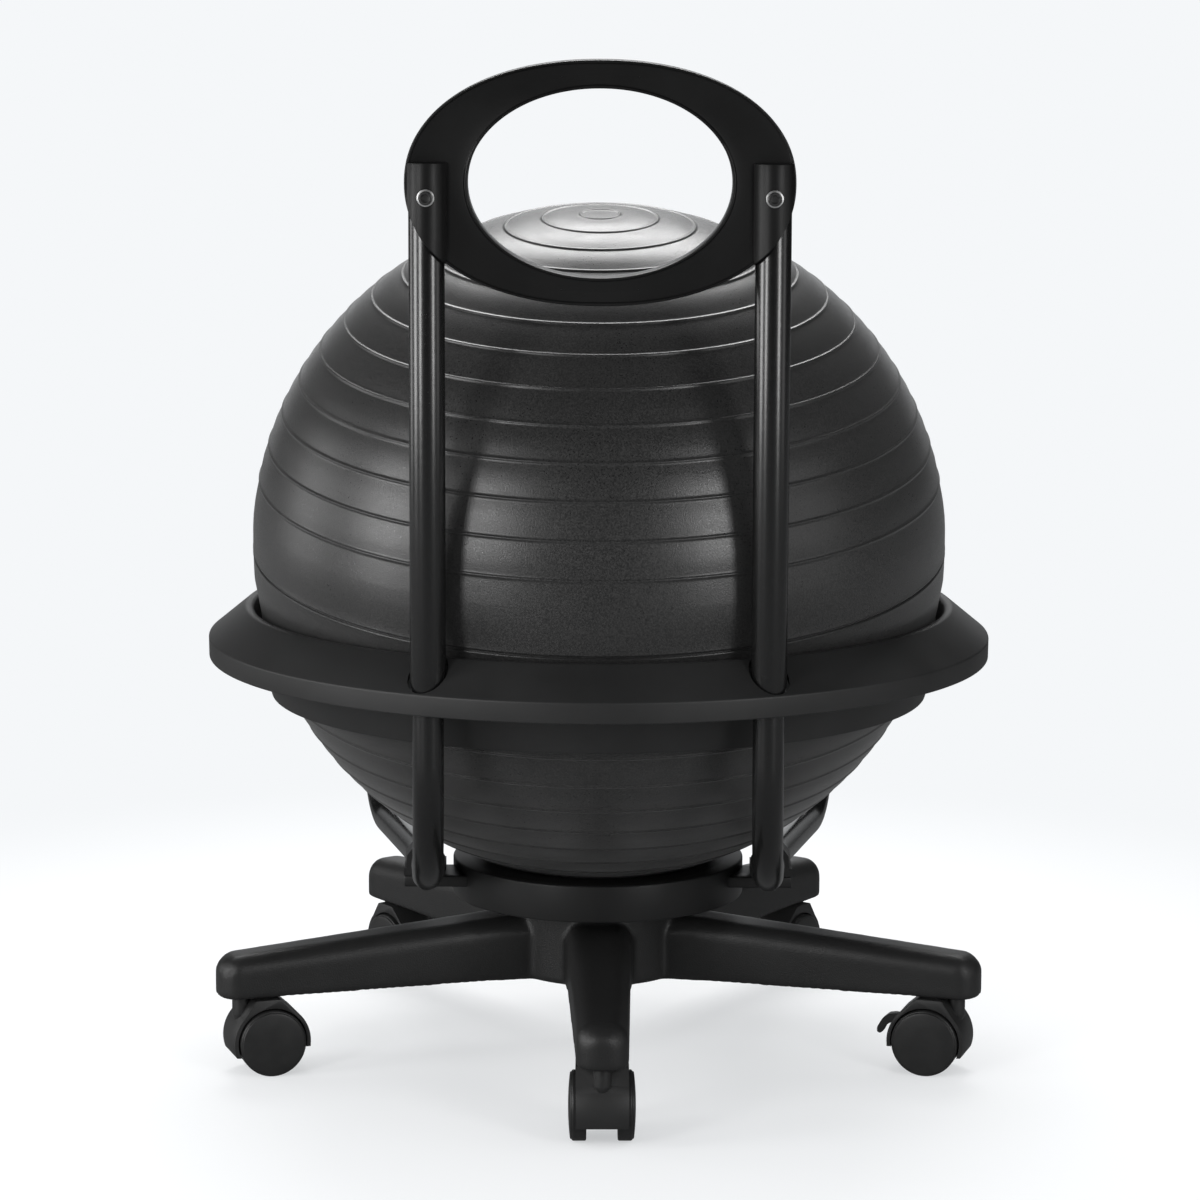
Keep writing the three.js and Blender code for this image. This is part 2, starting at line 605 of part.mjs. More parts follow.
// Moulded pockets in the underside of a leg, with a rib between each two
function legPockets() {
  const pitch = (POCKET_END - POCKET_START) / POCKETS_PER_LEG;
  const pockets = [];
  for (let i = 0; i < POCKETS_PER_LEG; i++) {
    const inner = POCKET_START + i * pitch + BASE_WALL / 2;
    const outer = POCKET_START + (i + 1) * pitch - BASE_WALL / 2;
    const width = LEG_ROOT_WIDTH + ((LEG_TIP_WIDTH - LEG_ROOT_WIDTH) * outer) / LEG_REACH;
    const half = width / 2 - BASE_WALL;
    const top = LEG_UNDERSIDE_Z + POCKET_DEPTH;
    pockets.push(block([inner, -half, LEG_UNDERSIDE_Z - OVERRUN], [outer, half, top]));
  }
  return pockets;
}

function sleeveHole() {
  const top = LEG_UNDERSIDE_Z + SLEEVE_DEPTH + SEAT_GAP;
  const hole = bore(SLEEVE_RADIUS + SEAT_GAP, LEG_UNDERSIDE_Z - OVERRUN, top);
  hole.translate(CASTER_CIRCLE_RADIUS, 0, 0);
  return hole;
}

// The same solids turned to each leg
function roundTheLegs(make) {
  const copies = [];
  for (let i = 0; i < LEG_COUNT; i++) {
    for (const piece of [make()].flat()) {
      piece.rotateZ((i * 2 * Math.PI) / LEG_COUNT);
      copies.push(piece);
    }
  }
  return copies;
}

// The same solid at each bolt of the hub
function atDishBolts(make) {
  const copies = [];
  for (let i = 0; i < DISH_BOLT_COUNT; i++) {
    const piece = make();
    piece.translate(DISH_BOLT_CIRCLE_RADIUS, 0, 0);
    piece.rotateZ(((i + 0.5) * 2 * Math.PI) / DISH_BOLT_COUNT);
    copies.push(piece);
  }
  return copies;
}

function starBase() {
  const hub = rod(HUB_RADIUS, LEG_UNDERSIDE_Z, STAR_TOP_Z, HUB_SIDES);
  const core = rod(HUB_CORE_RADIUS, LEG_UNDERSIDE_Z - OVERRUN, DISH_BOLT_SEAT_Z);
  const low = LEG_UNDERSIDE_Z - OVERRUN;
  const high = STAR_TOP_Z + OVERRUN;
  const shanks = atDishBolts(() => bore(DISH_BOLT_RADIUS + SEAT_GAP, low, high, SMALL_SIDES));
  const headRoom = DISH_BOLT_HEAD_RADIUS + SEAT_GAP;
  const heads = atDishBolts(() => bore(headRoom, low, DISH_BOLT_SEAT_Z, SMALL_SIDES));
  const pockets = roundTheLegs(legPockets);
  const sleeves = roundTheLegs(sleeveHole);
  const whole = join(starRoot(), hub, ...roundTheLegs(starLeg));
  return cut(whole, core, ...shanks, ...heads, ...pockets, ...sleeves);
}

function dishBolts() {
  const headTop = DISH_BOLT_SEAT_Z - SEAT_GAP;
  return atDishBolts(() => turned([
    [0, headTop - DISH_BOLT_HEAD],
    [DISH_BOLT_HEAD_RADIUS, headTop - DISH_BOLT_HEAD],
    [DISH_BOLT_HEAD_RADIUS, headTop],
    [DISH_BOLT_RADIUS, headTop],
    [DISH_BOLT_RADIUS, DISH_BOTTOM_Z + DISH_BOLT_REACH],
    [0, DISH_BOTTOM_Z + DISH_BOLT_REACH],
  ], SMALL_SIDES));
}

// The sleeve's inner corners lie further out, so that its flats clear the turning stem
function stemSleeve() {
  const top = LEG_UNDERSIDE_Z + SLEEVE_DEPTH;
  const inner = (STEM_HEAD_RADIUS + SPIN_GAP) / Math.cos(Math.PI / SMALL_SIDES);
  return turned([
    [inner, LEG_UNDERSIDE_Z],
    [SLEEVE_RADIUS, LEG_UNDERSIDE_Z],
    [SLEEVE_RADIUS, top],
    [inner, top],
    [inner, LEG_UNDERSIDE_Z],
  ], SMALL_SIDES);
}

// Bent bars

// The middle line of a bar: down from the ring at the rear, under the ball, and up to the ring in front
function barPath(side) {
  const top = TUBE_STEP_Z + BAR_SLEEVE;
  const corners = [
    new THREE.Vector3(side * REAR_TUBE_X, REAR_TUBE_Y, top),
    new THREE.Vector3(side * REAR_TUBE_X, REAR_TUBE_Y, BAR_LOW_REAR_Z),
    new THREE.Vector3(side * BAR_SADDLE_X, BAR_SADDLE_Y, BAR_SADDLE_Z),
    new THREE.Vector3(side * FRONT_BAR_X, FRONT_BAR_Y, BAR_FRONT_Z),
    new THREE.Vector3(side * FRONT_BAR_X, FRONT_BAR_Y, FRONT_BAR_TOP_Z),
  ];
  return bentPath(corners, [BAR_REAR_BEND, BAR_SADDLE_BEND, BAR_FRONT_BEND]);
}

function alongBar(side, radius, inner) {
  return new THREE.ExtrudeGeometry(roundSection(radius, BAR_SIDES, inner, BAR_BORE_SIDES), {
    steps: BAR_STEPS,
    bevelEnabled: false,
    extrudePath: barPath(side),
  });
}

// Where the bar's middle line passes a place along y, near the saddle
function barPointAt(side, y) {
  const points = barPath(side).getSpacedPoints(BAR_PLACES);
  const near = points.filter((point) => point.z < BAR_LOW_REAR_Z);
  return near.reduce((best, point) => (Math.abs(point.y - y) < Math.abs(best.y - y) ? point : best));
}

function clampBoltPlaces(side) {
  return [-1, 1].map((end) => barPointAt(side, EAR_MIDDLE_Y + (end * CLAMP_BOLT_SPACING) / 2));
}

function clampBoltHoles(side) {
  const radius = CLAMP_BOLT_RADIUS + SEAT_GAP;
  return clampBoltPlaces(side).map((place) => {
    const high = place.z + BAR_RADIUS + CLAMP_WALL + OVERRUN;
    const hole = bore(radius, EAR_BOTTOM_Z - OVERRUN, high, SMALL_SIDES);
    hole.translate(place.x, place.y, 0);
    return hole;
  });
}

function lowerBar(side) {
  return cut(
    alongBar(side, BAR_RADIUS, BAR_RADIUS - BAR_WALL),
    ...clampBoltHoles(side),
    ringScrewHole(rearTubeAngle(side)),
    ringScrewHole(frontBarAngle(side)),
  );
}

function earBlock(side, inner, low, high) {
  const [x0, x1] = [side * inner, side * EAR_REACH].sort((a, b) => a - b);
  const rear = EAR_MIDDLE_Y - EAR_LENGTH / 2;
  return block([x0, rear, low], [x1, rear + EAR_LENGTH, high]);
}

function dish() {
  const radii = DISH_BOWL_SHARES.map((share) => share * DISH_RADIUS);
  const edge = DISH_RIM_ROUNDING;
  const profile = [
    ...radii.map((r) => [r, ballHeightAt(r) - BALL_GAP]),
    [(radii[radii.length - 1] + DISH_RADIUS) / 2, DISH_RIM_Z],
    ...arc(DISH_RADIUS - edge, DISH_RIM_Z - edge, edge, Math.PI / 2, 0, 2),
    [DISH_RADIUS, DISH_BOTTOM_Z],
    [0, DISH_BOTTOM_Z],
  ];
  const bowl = turned(profile, DISH_SIDES);
  const inner = DISH_RADIUS - EAR_LENGTH / 2;
  const ears = [-1, 1].map((side) => earBlock(side, inner, EAR_BOTTOM_Z, EAR_SPLIT_Z));
  const grooves = [-1, 1].map((side) => alongBar(side, BAR_RADIUS + SEAT_GAP));
  const boltTop = DISH_BOTTOM_Z + DISH_BOLT_REACH + SEAT_GAP;
  const low = DISH_BOTTOM_Z - OVERRUN;
  const holes = atDishBolts(() => bore(DISH_BOLT_RADIUS + SEAT_GAP, low, boltTop, SMALL_SIDES));
  for (const hole of holes) hole.rotateZ(STAR_TURN);
  return cut(join(bowl, ...ears), ...grooves, ...holes, ...clampBoltHoles(-1), ...clampBoltHoles(1));
}

// The saddle cap: an arch over the bar with a flange each side, over the dish's ear
function barClamp(side) {
  const low = EAR_SPLIT_Z + SEAT_GAP;
  const middle = barPointAt(side, EAR_MIDDLE_Y);
  const over = middle.z + BAR_RADIUS + CLAMP_WALL + OVERRUN;
  const inner = Math.abs(middle.x) - BAR_RADIUS - CLAMP_WALL;
  const arch = common(alongBar(side, BAR_RADIUS + CLAMP_WALL), earBlock(side, inner, low, over));
  const flange = earBlock(side, inner, low, low + CLAMP_FLANGE);
  return cut(join(arch, flange), alongBar(side, BAR_RADIUS + SEAT_GAP), ...clampBoltHoles(side));
}

function clampBolts(side) {
  const headTop = EAR_BOTTOM_Z - SEAT_GAP;
  return clampBoltPlaces(side).map((place) => {
    const bolt = turned([
      [0, headTop - CLAMP_BOLT_HEAD],
      [CLAMP_BOLT_HEAD_RADIUS, headTop - CLAMP_BOLT_HEAD],
      [CLAMP_BOLT_HEAD_RADIUS, headTop],
      [CLAMP_BOLT_RADIUS, headTop],
      [CLAMP_BOLT_RADIUS, place.z + BAR_RADIUS + CLAMP_WALL / 2],
      [0, place.z + BAR_RADIUS + CLAMP_WALL / 2],
    ], SMALL_SIDES);
    bolt.translate(place.x, place.y, 0);
    return bolt;
  });
}

// Seat ring

function rearTubeAngle(side) {
  return -Math.PI / 2 + side * REAR_TUBE_ANGLE;
}

function frontBarAngle(side) {
  return Math.PI / 2 - side * FRONT_BAR_ANGLE;
}

function onTubeCircle(geometry, angle) {
  geometry.translate(TUBE_CIRCLE_RADIUS * Math.cos(angle), TUBE_CIRCLE_RADIUS * Math.sin(angle), 0);
  return geometry;
}

function skirtRadiusAt(z) {
  const share = (z - SKIRT_BOTTOM_Z) / (RING_CREST_Z - RING_CREST_ROUNDING - SKIRT_BOTTOM_Z);
  return SKIRT_BOTTOM_RADIUS + (RING_CREST_RADIUS - RING_CREST_ROUNDING - SKIRT_BOTTOM_RADIUS) * share;
}

// The outside of the ring from its lip over the crest to the foot of the skirt
function ringSkin() {
  const crestZ = RING_CREST_Z - RING_CREST_ROUNDING;
  const edge = RING_LIP_ROUNDING;
  return [
    [RING_RADIUS - edge, RING_LIP_Z],
    [RING_RADIUS, RING_LIP_Z + edge],
    [RING_RADIUS, RING_BAND_TOP_Z - edge],
    [RING_RADIUS - edge, RING_BAND_TOP_Z + edge / 2],
    ...arc(RING_CREST_RADIUS, crestZ, RING_CREST_ROUNDING, RING_CREST_START, Math.PI, 3),
    [SKIRT_BOTTOM_RADIUS, SKIRT_BOTTOM_Z + SKIRT_EDGE],
  ];
}

function seatRing() {
  const skirtOuter = SKIRT_BOTTOM_RADIUS + SKIRT_WALL;
  const crestZ = RING_CREST_Z - RING_CREST_ROUNDING;
  const bandInner = RING_RADIUS - RING_WALL;
  const skin = ringSkin();
  const shell = turned([
    ...skin,
    [SKIRT_BOTTOM_RADIUS + SKIRT_EDGE, SKIRT_BOTTOM_Z],
    [skirtOuter, SKIRT_BOTTOM_Z + SKIRT_EDGE],
    [skirtRadiusAt(crestZ) + RING_WALL, crestZ - RING_SLOPE_WALL],
    [RING_CREST_RADIUS + RING_WALL / 2, crestZ],
    [bandInner, RING_BAND_TOP_Z - RING_SLOPE_WALL / 3],
    [bandInner, RING_LIP_Z],
    skin[0],
  ], RING_SIDES);
  const filled = [...skin, [SKIRT_BOTTOM_RADIUS, RING_LIP_Z], skin[0]];
  const body = turned(filled.filter(keepAboveLip), RING_SIDES);
  const places = [-1, 1].flatMap((side) => [rearTubeAngle(side), frontBarAngle(side)]);
  const bossFoot = RING_LIP_Z - OVERRUN;
  const boss = (angle) => onTubeCircle(rod(BOSS_RADIUS, bossFoot, RING_CREST_Z), angle);
  const bosses = places.map((angle) => common(boss(angle), body));
  const rear = [-1, 1].map(rearTubeAngle);
  const front = [-1, 1].map(frontBarAngle);
  const low = SKIRT_BOTTOM_Z - OVERRUN;
  const high = RING_CREST_Z + OVERRUN;
  const barRoom = BAR_RADIUS + SEAT_GAP;
  const tubeRoom = TUBE_RADIUS + TUBE_HOLE_GAP;
  const frontTop = FRONT_BAR_TOP_Z + SEAT_GAP;
  return cut(
    join(shell, ...bosses),
    ...rear.map((angle) => onTubeCircle(bore(barRoom, low, high), angle)),
    ...rear.map((angle) => onTubeCircle(bore(tubeRoom, TUBE_STEP_Z, high, TUBE_SIDES), angle)),
    ...front.map((angle) => onTubeCircle(bore(barRoom, low, frontTop), angle)),
    ...places.map(ringScrewHole),
    ...places.map(ringScrewHeadHole),
  );
}

function keepAboveLip([, z]) {
  return z >= RING_LIP_Z;
}

// A round bar that lies level, from one distance off the chair's axis to another
function radialRod(radius, inner, outer, angle) {
  const bar = rod(radius, inner, outer, SMALL_SIDES);
  bar.rotateY(Math.PI / 2);
  bar.rotateZ(angle);
  bar.translate(0, 0, RING_SCREW_Z);
  return bar;
}

function ringScrewHeadRadius() {
  return skirtRadiusAt(RING_SCREW_Z) + RING_SCREW_SINK;
}

function ringScrewHole(angle) {
  const start = ringScrewHeadRadius();
  const end = start + RING_SCREW_HEAD + RING_SCREW_LENGTH + SEAT_GAP;
  return radialRod(RING_SCREW_RADIUS + SEAT_GAP, start, end, angle);
}

function ringScrewHeadHole(angle) {
  const start = ringScrewHeadRadius();
  const end = start + RING_SCREW_HEAD + SEAT_GAP;
  return radialRod(RING_SCREW_HEAD_RADIUS + SEAT_GAP, start - OVERRUN, end, angle);
}

function ringScrew(angle) {
  const start = ringScrewHeadRadius();
  const seat = start + RING_SCREW_HEAD;
  return join(
    radialRod(RING_SCREW_HEAD_RADIUS, start, seat, angle),
    radialRod(RING_SCREW_RADIUS, start + RING_SCREW_HEAD / 2, seat + RING_SCREW_LENGTH, angle),
  );
}

// Upper tubes and backrest

function upperTube(side) {
  const bottom = TUBE_STEP_Z + SEAT_GAP;
  const inner = TUBE_RADIUS - TUBE_WALL;
  const pipe = turned([
    [inner, bottom],
    [TUBE_RADIUS, bottom],
    [TUBE_RADIUS, TUBE_TOP_Z],
    [inner, TUBE_TOP_Z],
    [inner, bottom],
  ], TUBE_SIDES);
  const angle = rearTubeAngle(side);
  return cut(onTubeCircle(pipe, angle), ringScrewHole(angle), backScrewHole(side));
}

function loop(halfWidth, halfHeight, power, inset = 0) {
  const points = [];
  for (let i = 0; i < BACK_POINTS; i++) {
    const angle = (i * 2 * Math.PI) / BACK_POINTS;
    const x = Math.sign(Math.cos(angle)) * Math.abs(Math.cos(angle)) ** (2 / power);
    const z = Math.sign(Math.sin(angle)) * Math.abs(Math.sin(angle)) ** (2 / power);
    points.push([x * (halfWidth - inset), z * (halfHeight - inset)]);
  }
  return points;
}

function loopShape(outerInset, holeInset) {
  const shape = outline(loop(BACK_HALF_WIDTH, BACK_HALF_HEIGHT, BACK_POWER, outerInset));
  const hole = loop(HOLE_HALF_WIDTH, HOLE_HALF_HEIGHT, HOLE_POWER, holeInset);
  shape.holes.push(new THREE.Path(hole.map(([x, z]) => new THREE.Vector2(x, z))));
  return shape;
}

function atBack(geometry) {
  geometry.translate(0, 0, BACK_CENTRE_Z);
  return geometry;
}

// A round bar along y at a backrest screw, from a rear place to a front one
function screwRod(side, radius, rear, front, sides = SMALL_SIDES) {
  const bar = rod(radius, rear, front, sides);
  bar.rotateX(-Math.PI / 2);
  bar.translate(side * REAR_TUBE_X, 0, BACK_SCREW_Z);
  return bar;
}

function backScrewHole(side) {
  const front = SPOT_FACE_Y - WASHER_THICKNESS - 2 * SEAT_GAP + BACK_SCREW_LENGTH + SEAT_GAP;
  return screwRod(side, BACK_SCREW_RADIUS + SEAT_GAP, SOCKET_REAR_Y - OVERRUN, front);
}

// The loop's two layers: a full one, and on the sitter's side one drawn in by the edge rounding
function loopPlate() {
  const front = BACK_REAR_Y + BACK_THICKNESS;
  const full = slab(loopShape(0, 0), BACK_REAR_Y, front - BACK_EDGE);
  const eased = slab(loopShape(BACK_EDGE / 2, -BACK_EDGE / 2), front - BACK_EDGE - SEAT_GAP, front);
  const recess = slab(loopShape(BACK_LIP, -BACK_LIP), BACK_REAR_Y - OVERRUN, BACK_REAR_Y + BACK_RECESS);
  return cut(join(atBack(full), atBack(eased)), atBack(recess));
}

function backSocket(side) {
  const socket = rod(SOCKET_RADIUS, BACK_CENTRE_Z - BACK_HALF_HEIGHT, SOCKET_TOP_Z, TUBE_SIDES);
  socket.translate(side * REAR_TUBE_X, SOCKET_Y, 0);
  const mould = slab(
    outline(loop(BACK_HALF_WIDTH, BACK_HALF_HEIGHT, BACK_POWER)),
    SOCKET_REAR_Y - OVERRUN,
    BACK_REAR_Y + BACK_THICKNESS / 2,
  );
  return common(socket, atBack(mould));
}

function backrest() {
  const sides = [-1, 1];
  const tubeLow = BACK_CENTRE_Z - BACK_HALF_HEIGHT - OVERRUN;
  const tubeHigh = TUBE_TOP_Z + SEAT_GAP;
  const tube = (side) => {
    const room = bore(TUBE_RADIUS + SEAT_GAP, tubeLow, tubeHigh, TUBE_SIDES);
    return onTubeCircle(room, rearTubeAngle(side));
  };
  const spot = (side) => {
    const rear = SOCKET_REAR_Y - OVERRUN;
    return screwRod(side, WASHER_RADIUS + SEAT_GAP, rear, SPOT_FACE_Y, ROUND_SIDES);
  };
  const whole = join(loopPlate(), ...sides.map(backSocket));
  return cut(whole, ...sides.map(tube), ...sides.map(spot), ...sides.map(backScrewHole));
}

function backWasher(side) {
  const front = SPOT_FACE_Y - SEAT_GAP;
  return cut(
    screwRod(side, WASHER_RADIUS, front - WASHER_THICKNESS, front, ROUND_SIDES),
    screwRod(side, BACK_SCREW_RADIUS + SEAT_GAP, front - WASHER_THICKNESS - OVERRUN, front + OVERRUN),
  );
}

function backScrew(side) {
  const seat = SPOT_FACE_Y - WASHER_THICKNESS - 2 * SEAT_GAP;
  const crown = seat - BACK_SCREW_HEAD;
  const screw = turned([
    [0, crown],
    [BACK_SCREW_HEAD_RADIUS * BACK_SCREW_CROWN_SHARE, crown],
    [BACK_SCREW_HEAD_RADIUS, crown + BACK_SCREW_HEAD * BACK_SCREW_CROWN_SHARE],
    [BACK_SCREW_HEAD_RADIUS, seat],
    [BACK_SCREW_RADIUS, seat],
    [BACK_SCREW_RADIUS, seat + BACK_SCREW_LENGTH],
    [0, seat + BACK_SCREW_LENGTH],
  ], SMALL_SIDES);
  screw.rotateX(-Math.PI / 2);
  screw.translate(side * REAR_TUBE_X, 0, BACK_SCREW_Z);
  return cut(screw, screwRod(side, HEX_RADIUS, crown - OVERRUN, crown + HEX_DEPTH, 6));
}

// Casters: x runs outward along the leg from the axle, y along the axle

function hoodProfile() {
  const at = (angle) => [HOOD_RADIUS * Math.cos(angle), WHEEL_RADIUS + HOOD_RADIUS * Math.sin(angle)];
  const sweep = (start, end) => {
    const steps = Math.round(Math.abs(end - start) / HOOD_STEP);
    return Array.from({ length: steps + 1 }, (_, i) => at(start + ((end - start) * i) / steps));
  };
  return [
    ...sweep(HOOD_FRONT_END_ANGLE, HOOD_FRONT_TOP_ANGLE),
    [HOOD_ROOF_FRONT, HOOD_ROOF_Z],
    [HOOD_ROOF_REAR, HOOD_ROOF_Z],
    ...sweep(HOOD_REAR_TOP_ANGLE, HOOD_REAR_END_ANGLE),
    [-HOOD_FLOOR_HALF, HOOD_FLOOR_Z],
    [HOOD_FLOOR_HALF, HOOD_FLOOR_Z],
  ];
}

// A round bar along the axle's direction at a place in the leg's plane
function crossRod(radius, x, z, from, to, sides = ROUND_SIDES) {
  const bar = rod(radius, from, to, sides);
  bar.rotateX(-Math.PI / 2);
  bar.translate(x, 0, z);
  return bar;
}

function casterHood(braked) {
  const shell = slab(outline(hoodProfile()), -HOOD_HALF_WIDTH, HOOD_HALF_WIDTH);
  const post = rod(POST_RADIUS, POST_FOOT_Z, POST_TOP_Z);
  post.translate(CASTER_TRAIL, 0, 0);
  const stemRoom = STEM_RADIUS + SEAT_GAP;
  const stemHole = bore(stemRoom, STEM_FOOT_Z - SEAT_GAP, POST_TOP_Z + OVERRUN, SMALL_SIDES);
  stemHole.translate(CASTER_TRAIL, 0, 0);
  const outside = HOOD_HALF_WIDTH + OVERRUN;
  const tools = [
    crossRod(HOOD_ROOM, 0, WHEEL_RADIUS, HOOD_WEB, outside, HOOD_ROOM_SIDES),
    crossRod(HOOD_ROOM, 0, WHEEL_RADIUS, -outside, -HOOD_WEB, HOOD_ROOM_SIDES),
    crossRod(AXLE_RADIUS + SEAT_GAP, 0, WHEEL_RADIUS, -outside, outside, SMALL_SIDES),
    stemHole,
  ];
  if (braked) {
    const half = LEVER_HALF_WIDTH + LEVER_GAP;
    const [x, z] = [LEVER_PIVOT_X, LEVER_PIVOT_Z];
    const low = [x - LEVER_SLOT_BEHIND, -half, z - LEVER_SLOT_BELOW];
    const high = [x + LEVER_SLOT_AHEAD, half, z + LEVER_SLOT_ABOVE];
    const reach = HOOD_WEB + OVERRUN;
    tools.push(block(low, high));
    tools.push(crossRod(LEVER_PIN_RADIUS + SEAT_GAP, x, z, -reach, reach, SMALL_SIDES));
  }
  return cut(join(shell, post), ...tools);
}

function casterStem() {
  const shoulder = LEG_UNDERSIDE_Z;
  const stem = turned([
    [0, STEM_FOOT_Z],
    [STEM_RADIUS, STEM_FOOT_Z],
    [STEM_RADIUS, shoulder],
    [STEM_HEAD_RADIUS, shoulder + SEAT_GAP],
    [STEM_HEAD_RADIUS, shoulder + STEM_HEAD - SPIN_GAP],
    [STEM_RADIUS, shoulder + STEM_HEAD + SPIN_GAP],
    [0, shoulder + STEM_HEAD + SPIN_GAP],
  ], SMALL_SIDES);
  stem.translate(CASTER_TRAIL, 0, 0);
  return stem;
}

// One wheel with its cap in one moulding, turned from its own axis, flats down
function casterWheel(side) {
  const corner = 1 / Math.cos(Math.PI / WHEEL_SIDES);
  const tread = WHEEL_RADIUS * corner;
  const bottom = AXLE_HALF_LENGTH + SEAT_GAP;
  const wheel = turned([
    [0, bottom],
    [AXLE_RADIUS + SPIN_GAP, bottom],
    [AXLE_RADIUS + SPIN_GAP, WHEEL_INNER_Y],
    [WHEEL_HUB_RADIUS, WHEEL_INNER_Y],
    [WHEEL_HUB_RADIUS, TREAD_INNER_Y],
    [tread, TREAD_INNER_Y],
    [tread, TREAD_OUTER_Y - WHEEL_EDGE],
    [DISC_RADIUS, TREAD_OUTER_Y + DISC_EDGE],
    [DISC_RADIUS * DISC_CROWN_SHARE, WHEEL_OUTER_Y - DISC_CROWN],
    [0, WHEEL_OUTER_Y],
  ], WHEEL_SIDES);
  wheel.rotateZ(Math.PI / WHEEL_SIDES);
  wheel.rotateX(side > 0 ? -Math.PI / 2 : Math.PI / 2);
  wheel.translate(0, 0, WHEEL_RADIUS);
  return wheel;
}

function brakeLever() {
  const [x, z] = [LEVER_PIVOT_X, LEVER_PIVOT_Z];
  const at = ([along, up]) => [x + LEVER_LENGTH * along, z + LEVER_LENGTH * up];
  const points = LEVER_OUTLINE_SHARES.map(at);
  const hook = slab(outline(points), -LEVER_HALF_WIDTH, LEVER_HALF_WIDTH);
  const eye = crossRod(LEVER_EYE_RADIUS, x, z, -LEVER_HALF_WIDTH, LEVER_HALF_WIDTH);
  const pin = crossRod(LEVER_PIN_RADIUS, x, z, SEAT_GAP - HOOD_WEB, HOOD_WEB - SEAT_GAP, SMALL_SIDES);
  return join(hook, eye, pin);
}

// Scene graph

function piece(name, geometry, finish) {
  const [color, roughness, metalness] = FINISHES[finish];
  const material = new THREE.MeshStandardMaterial({ color, roughness, metalness });
  const mesh = new THREE.Mesh(closed(geometry), material);
  mesh.name = name;
  return mesh;
}

function buildBase() {
  const base = new THREE.Group();
  base.rotation.z = -Math.PI / 2 + STAR_TURN;
  base.add(piece("star_base", starBase(), "plastic"));
  dishBolts().forEach((bolt, i) => base.add(piece(`dish_bolt_${i + 1}`, bolt, "steel")));
  for (let i = 0; i < LEG_COUNT; i++) {
    const leg = new THREE.Group();
    leg.rotation.z = (i * 2 * Math.PI) / LEG_COUNT;
    const sleeve = piece(`caster_${i + 1}_socket`, stemSleeve(), "plastic");
    sleeve.position.x = CASTER_CIRCLE_RADIUS;
    leg.add(sleeve);
    leg.add(buildCaster(i));
    base.add(leg);
  }
  return base;
}

function buildCaster(i) {
  const caster = new THREE.Group();
  const name = `caster_${i + 1}`;
  const braked = BRAKED_LEGS.includes(i);
  caster.position.x = CASTER_CIRCLE_RADIUS - CASTER_TRAIL;
  caster.add(piece(`${name}_hood`, casterHood(braked), "plastic"));
  caster.add(piece(`${name}_stem`, casterStem(), "steel"));
  const axle = crossRod(AXLE_RADIUS, 0, WHEEL_RADIUS, -AXLE_HALF_LENGTH, AXLE_HALF_LENGTH, SMALL_SIDES);
  caster.add(piece(`${name}_axle`, axle, "steel"));
  caster.add(piece(`${name}_wheel_left`, casterWheel(1), "wheel"));
  caster.add(piece(`${name}_wheel_right`, casterWheel(-1), "wheel"));
  if (braked) caster.add(piece(`${name}_brake_lever`, brakeLever(), "plastic"));
  return caster;
}

function buildFrame() {
  const frame = new THREE.Group();
  frame.add(piece("base_dish", dish(), "plastic"));
  frame.add(piece("seat_ring", seatRing(), "plastic"));
  frame.add(piece("backrest", backrest(), "plastic"));
  for (const [word, side] of [["left", -1], ["right", 1]]) {
    clampBolts(side).forEach((bolt, i) => frame.add(piece(`clamp_bolt_${word}_${i + 1}`, bolt, "steel")));
    frame.add(piece(`ring_screw_rear_${word}`, ringScrew(rearTubeAngle(side)), "blackSteel"));
    frame.add(piece(`ring_screw_front_${word}`, ringScrew(frontBarAngle(side)), "blackSteel"));
    frame.add(piece(`backrest_washer_${word}`, backWasher(side), "zinc"));
    frame.add(piece(`backrest_screw_${word}`, backScrew(side), "blackSteel"));
    frame.add(piece(`bar_clamp_${word}`, barClamp(side), "plastic"));
    frame.add(piece(`lower_bar_${word}`, lowerBar(side), "coated"));
    frame.add(piece(`upper_tube_${word}`, upperTube(side), "coated"));
  }
  return frame;
}

function buildBall() {
  const group = new THREE.Group();
  group.add(piece("ball", ball(), "vinyl"));
  group.add(piece("valve_plug", valvePlug(), "plastic"));
  return group;
}

const chair = new THREE.Group();
chair.add(buildBase());
chair.add(buildFrame());
chair.add(buildBall());

export default chair;
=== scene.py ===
"""A balance ball chair, dressed for a plain studio picture taken from behind it.

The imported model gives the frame: every piece made here lies in that frame, in metres, with +Z up, the floor
at z = 0 and the backrest at -Y. Each sub-assembly is a class that holds its sizes, builds its surfaces with
numpy and dresses them. Each finish is a frozen dataclass that builds one procedural material.
"""

import logging
import math
from collections.abc import Callable, Sequence
from dataclasses import dataclass, replace
from enum import Enum
from functools import cached_property

import bmesh
import bpy
import numpy as np
from mathutils import Matrix, Vector


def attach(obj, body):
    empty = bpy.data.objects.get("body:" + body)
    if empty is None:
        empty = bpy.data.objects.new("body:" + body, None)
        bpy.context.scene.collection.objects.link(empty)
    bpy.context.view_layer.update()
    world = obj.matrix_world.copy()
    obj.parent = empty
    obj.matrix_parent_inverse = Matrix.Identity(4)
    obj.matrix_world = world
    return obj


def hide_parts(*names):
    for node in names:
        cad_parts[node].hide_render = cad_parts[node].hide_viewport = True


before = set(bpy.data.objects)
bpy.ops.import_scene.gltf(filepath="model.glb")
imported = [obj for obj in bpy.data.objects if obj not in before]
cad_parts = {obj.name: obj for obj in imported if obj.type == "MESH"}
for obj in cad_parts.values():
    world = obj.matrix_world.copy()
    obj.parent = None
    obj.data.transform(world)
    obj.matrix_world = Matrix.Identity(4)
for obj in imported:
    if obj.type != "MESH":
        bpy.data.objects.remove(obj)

LOG = logging.getLogger("chair")
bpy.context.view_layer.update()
Mesh, Material = bpy.types.Mesh, bpy.types.Material
